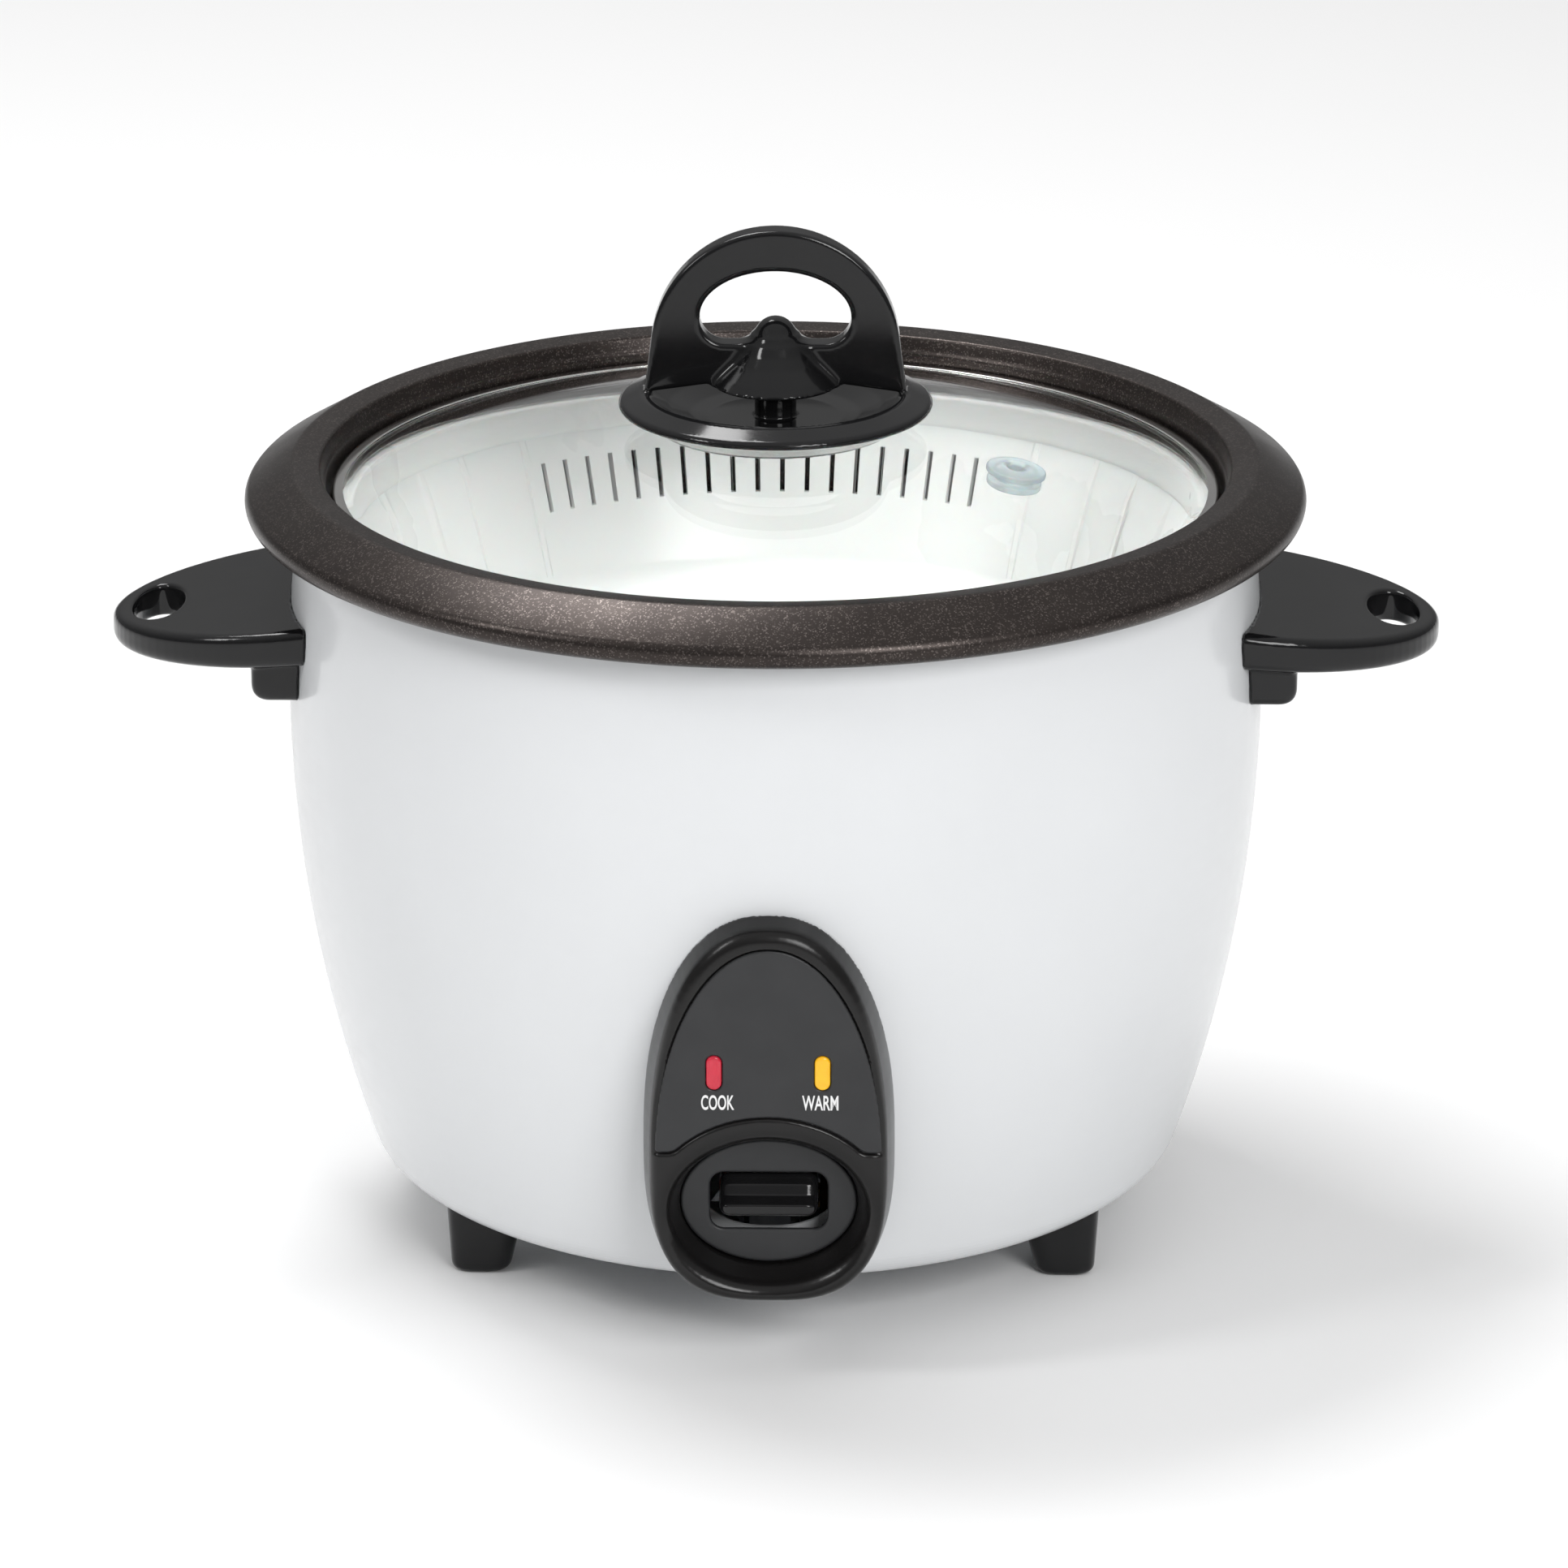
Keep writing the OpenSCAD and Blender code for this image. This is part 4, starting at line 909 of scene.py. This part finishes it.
PANEL_BLACK = finish("satin black panel", (0.0068, 0.0064, 0.0064), (0.0082, 0.0077, 0.0077), patch=0.012,
                     rough=0.23, spread=0.04, grain=0.0009, depth=0.00001, Specular_IOR_Level=0.3)
bezel = mould("bezel_moulded", bezel_rule, (-31, -40, -31), (31, 64, 0.5), 0.5)
bezel.transform(ON_PANEL)
fit("bezel_moulded", bezel, PANEL_BLACK, "housing", "panel_black", "panel_bezel")


def plate_rule(x, y, z):
    holes = pill_distance(np.abs(x) - LENS_X, y - LENS_Y, 2.0, 4.55)
    return np.maximum(np.maximum(inlay_distance(x, y), -holes),
                      np.maximum(z + INLAY_SINK, -1.0 - z))


INLAY_GREY = finish("label plate grey", (0.020, 0.0205, 0.022), (0.0235, 0.024, 0.0255), patch=0.01,
                    rough=0.42, spread=0.04, grain=0.0004, depth=0.00001, Specular_IOR_Level=0.4)
inlay = mould("label_plate", plate_rule, (-28, 2, -1), (28, 57, 0), 0.4)
inlay.transform(ON_PANEL)
fit("label_plate", inlay, INLAY_GREY, "housing", "inlay_grey", "panel_faceplate")


def lens_rule(x, y, z):
    pill = pill_distance(x, y - LENS_Y, 1.9, 4.45)
    return smooth_max(smooth_max(pill, z + 0.12, 0.9), -4.0 - z, 0.3)


# Each lens glows faintly in its own colour. This is a painted glow: the lens is no lamp, and the lamps behind
# it give no light here.
def lens_finish_with_painted_glow(name, tone, other_tone):
    return finish(name, tone, other_tone, patch=0.003, rough=0.16, spread=0.03, grain=0.0006,
                  depth=0.000006, Coat_Weight=0.1, Coat_Roughness=0.06, Subsurface_Weight=0.2,
                  Subsurface_Scale=0.001, Emission_Strength=0.05,
                  Emission_Color=(*tone, 1))


for side, name, node, slot, tones in (
        (-1, "cook_window", "cook_lens", "red_lens", ((0.56, 0.018, 0.045), (0.50, 0.015, 0.038))),
        (1, "warm_window", "warm_lens", "amber_lens", ((0.93, 0.50, 0.012), (0.88, 0.45, 0.01)))):
    window = mould(name, lens_rule, (-2, LENS_Y - 5, -4), (2, LENS_Y + 5, 0.3), 0.3)
    window.transform(ON_PANEL @ Matrix.Translation((side * LENS_X * MM, 0, 0)))
    fit(name, window, lens_finish_with_painted_glow(name, *tones), "housing", slot, node)

LABEL_WHITE = finish("label print", (0.82, 0.82, 0.82), (0.76, 0.76, 0.76), patch=0.002, rough=0.5,
                     spread=0.05, grain=0.0003, depth=0.000004)


def label(word, x, width, height=3.9, y=16.7):
    """A word printed on the label plate, set narrow and bold."""
    curve = bpy.data.curves.new(word, "FONT")
    curve.body = word
    curve.align_x = "CENTER"
    curve.offset = 0.016
    curve.extrude = 0.01
    curve.resolution_u = 6
    maker = bpy.data.objects.new(word, curve)
    bpy.context.scene.collection.objects.link(maker)
    bpy.context.view_layer.update()
    mesh = bpy.data.meshes.new_from_object(maker.evaluated_get(bpy.context.evaluated_depsgraph_get()))
    bpy.data.objects.remove(maker)
    spots = np.array([v.co for v in mesh.vertices])
    size = spots.max(0) - spots.min(0)
    middle = (spots.max(0) + spots.min(0)) / 2
    mesh.transform(
        ON_PANEL @ Matrix.Translation((x * MM, y * MM, (-INLAY_SINK + 0.03) * MM))
        @ Matrix.Diagonal((width * MM / size[0], height * MM / size[1], 0.06 * MM / size[2], 1))
        @ Matrix.Translation((-middle[0], -middle[1], -middle[2])))
    mesh.name = "label_" + word.lower()
    return mesh


for word, x, width in (("COOK", -12.1, 7.9), ("WARM", 12.5, 8.7)):
    print_mesh = label(word, x, width)
    fit(print_mesh.name, print_mesh, LABEL_WHITE, "housing", "inlay_grey")

# ---------------------------------------------------------------- cook lever
# An oval plate closes the bottom of the well, and the black lever comes through its window.
# The lever is a short ledge that a fingertip presses down, on the end of a steel arm.
WINDOW_W, WINDOW_H, WINDOW_Y = 28.4, 15.0, -13.65


def box_distance(x, y, half_w, half_h, corner):
    across = np.maximum(np.abs(x) - half_w + corner, 0)
    up = np.maximum(np.abs(y) - half_h + corner, 0)
    return np.hypot(across, up) - corner


SWITCH_OVAL = oval(21.4, 16.3, WELL_Y)


def switch_plate_rule(x, y, z):
    edge = edge_distance(x, y, SWITCH_OVAL)
    window = box_distance(x, y - WINDOW_Y, WINDOW_W / 2, WINDOW_H / 2, 3.5)
    plate = smooth_max(smooth_max(edge, z + WELL_DEPTH, 0.7), -WELL_DEPTH - 1.5 - z, 0.3)
    return smooth_max(plate, -window, 0.9)


switch_plate = mould("switch_plate_moulded", switch_plate_rule, (-22, -31, -11.1), (22, 3, -9.4), 0.4)
switch_plate.transform(ON_PANEL)
fit("switch_plate_moulded", switch_plate, INLAY_GREY, "housing", "inlay_grey", "switch_plate")

KNOB_LOW = 1000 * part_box("switch_lever")[0][2]
KNOB_BACK = -109.0
KNOB_SIDE = [(KNOB_BACK, KNOB_LOW + 9.6), (-115.4, KNOB_LOW + 9.6), (-117.6, KNOB_LOW + 7.6),
             (-118.6, KNOB_LOW + 5.2), (-121.1, KNOB_LOW + 3.5), (-121.3, KNOB_LOW + 1.3),
             (-119.2, KNOB_LOW + 0.1), (KNOB_BACK, KNOB_LOW)]


def knob_rule(x, y, z):
    profile = edge_distance(y, z, KNOB_SIDE)
    knob = smooth_max(profile, np.abs(x) - 12.0, 3.2)
    slot = np.maximum(np.maximum(np.abs(x) - 5.1, np.abs(z - KNOB_LOW - 5.25) - 0.8), -116.1 - y)
    return np.maximum(knob, -slot)


knob = mould("lever_knob", knob_rule, (-12.5, -122, 42), (12.5, -108.5, 56), 0.4)
fit("lever_knob", knob, BLACK_GLOSS, "cook_lever", "black_gloss", "switch_lever")

# ---------------------------------------------------------------- mains inlet
# A black appliance socket stands on the back of the drum, held by two screws from inside. Two
# brass pins stand in its recess. The lead plugs in and isn't part of the cooker.
INLET_Z, INLET_BACK = 37.0, 1000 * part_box("inlet_housing")[1][1]


def inlet_rule(x, y, z):
    up = z - INLET_Z
    flange = smooth_max(box_distance(x, up, 25, 12, 4.0), y - INLET_BACK, 2.4)
    outside = np.maximum(flange, 0.12 - drum_distance(x, y, z))
    inside = np.maximum(box_distance(x, up, 14.9, 9.9, 1.0), np.maximum(86 - y, y - 112))
    body = np.minimum(outside, inside)
    recess = np.maximum(box_distance(x, up, 12.5, 7.5, 2.0), 88.5 - y)
    body = smooth_max(body, -recess, 1.2)
    pins = np.hypot(np.abs(x) - 6, up) - 2.06
    screws = np.maximum(np.hypot(np.abs(x) - 20, up) - 1.6, y - 112)
    return np.maximum(np.maximum(body, -pins), -screws)


inlet = mould("inlet_moulded", inlet_rule, (-25.5, 85.5, 24.5), (25.5, 116, 49.5), 0.6)
fit("inlet_moulded", inlet, PANEL_BLACK, "housing", "panel_black", "inlet_housing")

# ---------------------------------------------------------------- floor and lights
# A plain pale floor under broad, soft studio lights.
floor_mesh = bpy.data.meshes.new("floor")
reach = 12.0
floor_mesh.from_pydata([(-reach, -reach, 0), (reach, -reach, 0), (reach, reach, 0), (-reach, reach, 0)],
                       [], [(0, 1, 2, 3)])
floor = bpy.data.objects.new("floor", floor_mesh)
bpy.context.scene.collection.objects.link(floor)
floor_mesh.materials.append(finish("pale floor", (0.90, 0.90, 0.90), (0.895, 0.895, 0.895), patch=0.4,
                                   rough=0.75, spread=0.02, grain=0.01, depth=0.000001,
                                   Specular_IOR_Level=0.2))


def soft_light(name, place, aim, size, power):
    """A rectangular soft box, from its place towards its aim."""
    data = bpy.data.lights.new(name, "AREA")
    data.shape = "RECTANGLE"
    data.size, data.size_y = size
    data.energy = power
    lamp = bpy.data.objects.new(name, data)
    bpy.context.scene.collection.objects.link(lamp)
    lamp.location = place
    lamp.rotation_euler = (Vector(aim) - Vector(place)).to_track_quat("-Z", "Y").to_euler()


soft_light("overhead", (-0.5, 0.5, 1.9), (0, 0, 0.15), (0.8, 0.7), 22)
soft_light("front right", (1.0, -2.1, 1.35), (0, 0, 0.12), (1.0, 0.9), 33)
soft_light("left", (-1.6, -0.85, 1.45), (0, 0, 0.15), (0.35, 0.6), 9)

world = bpy.data.worlds.new("studio")
bpy.context.scene.world = world
world.use_nodes = True
sky = world.node_tree
height = put(sky, "SeparateXYZ", put(sky, "TexCoord").outputs["Generated"])
glow = put(sky, "MapRange", height.outputs["Z"], 0.2, 0.85, 0.2, 0.7)
sky.nodes["Background"].inputs["Color"].default_value = (1.0, 1.0, 1.0, 1)
sky.links.new(glow.outputs[0], sky.nodes["Background"].inputs["Strength"])
bpy.context.scene.view_settings.view_transform = "Standard"
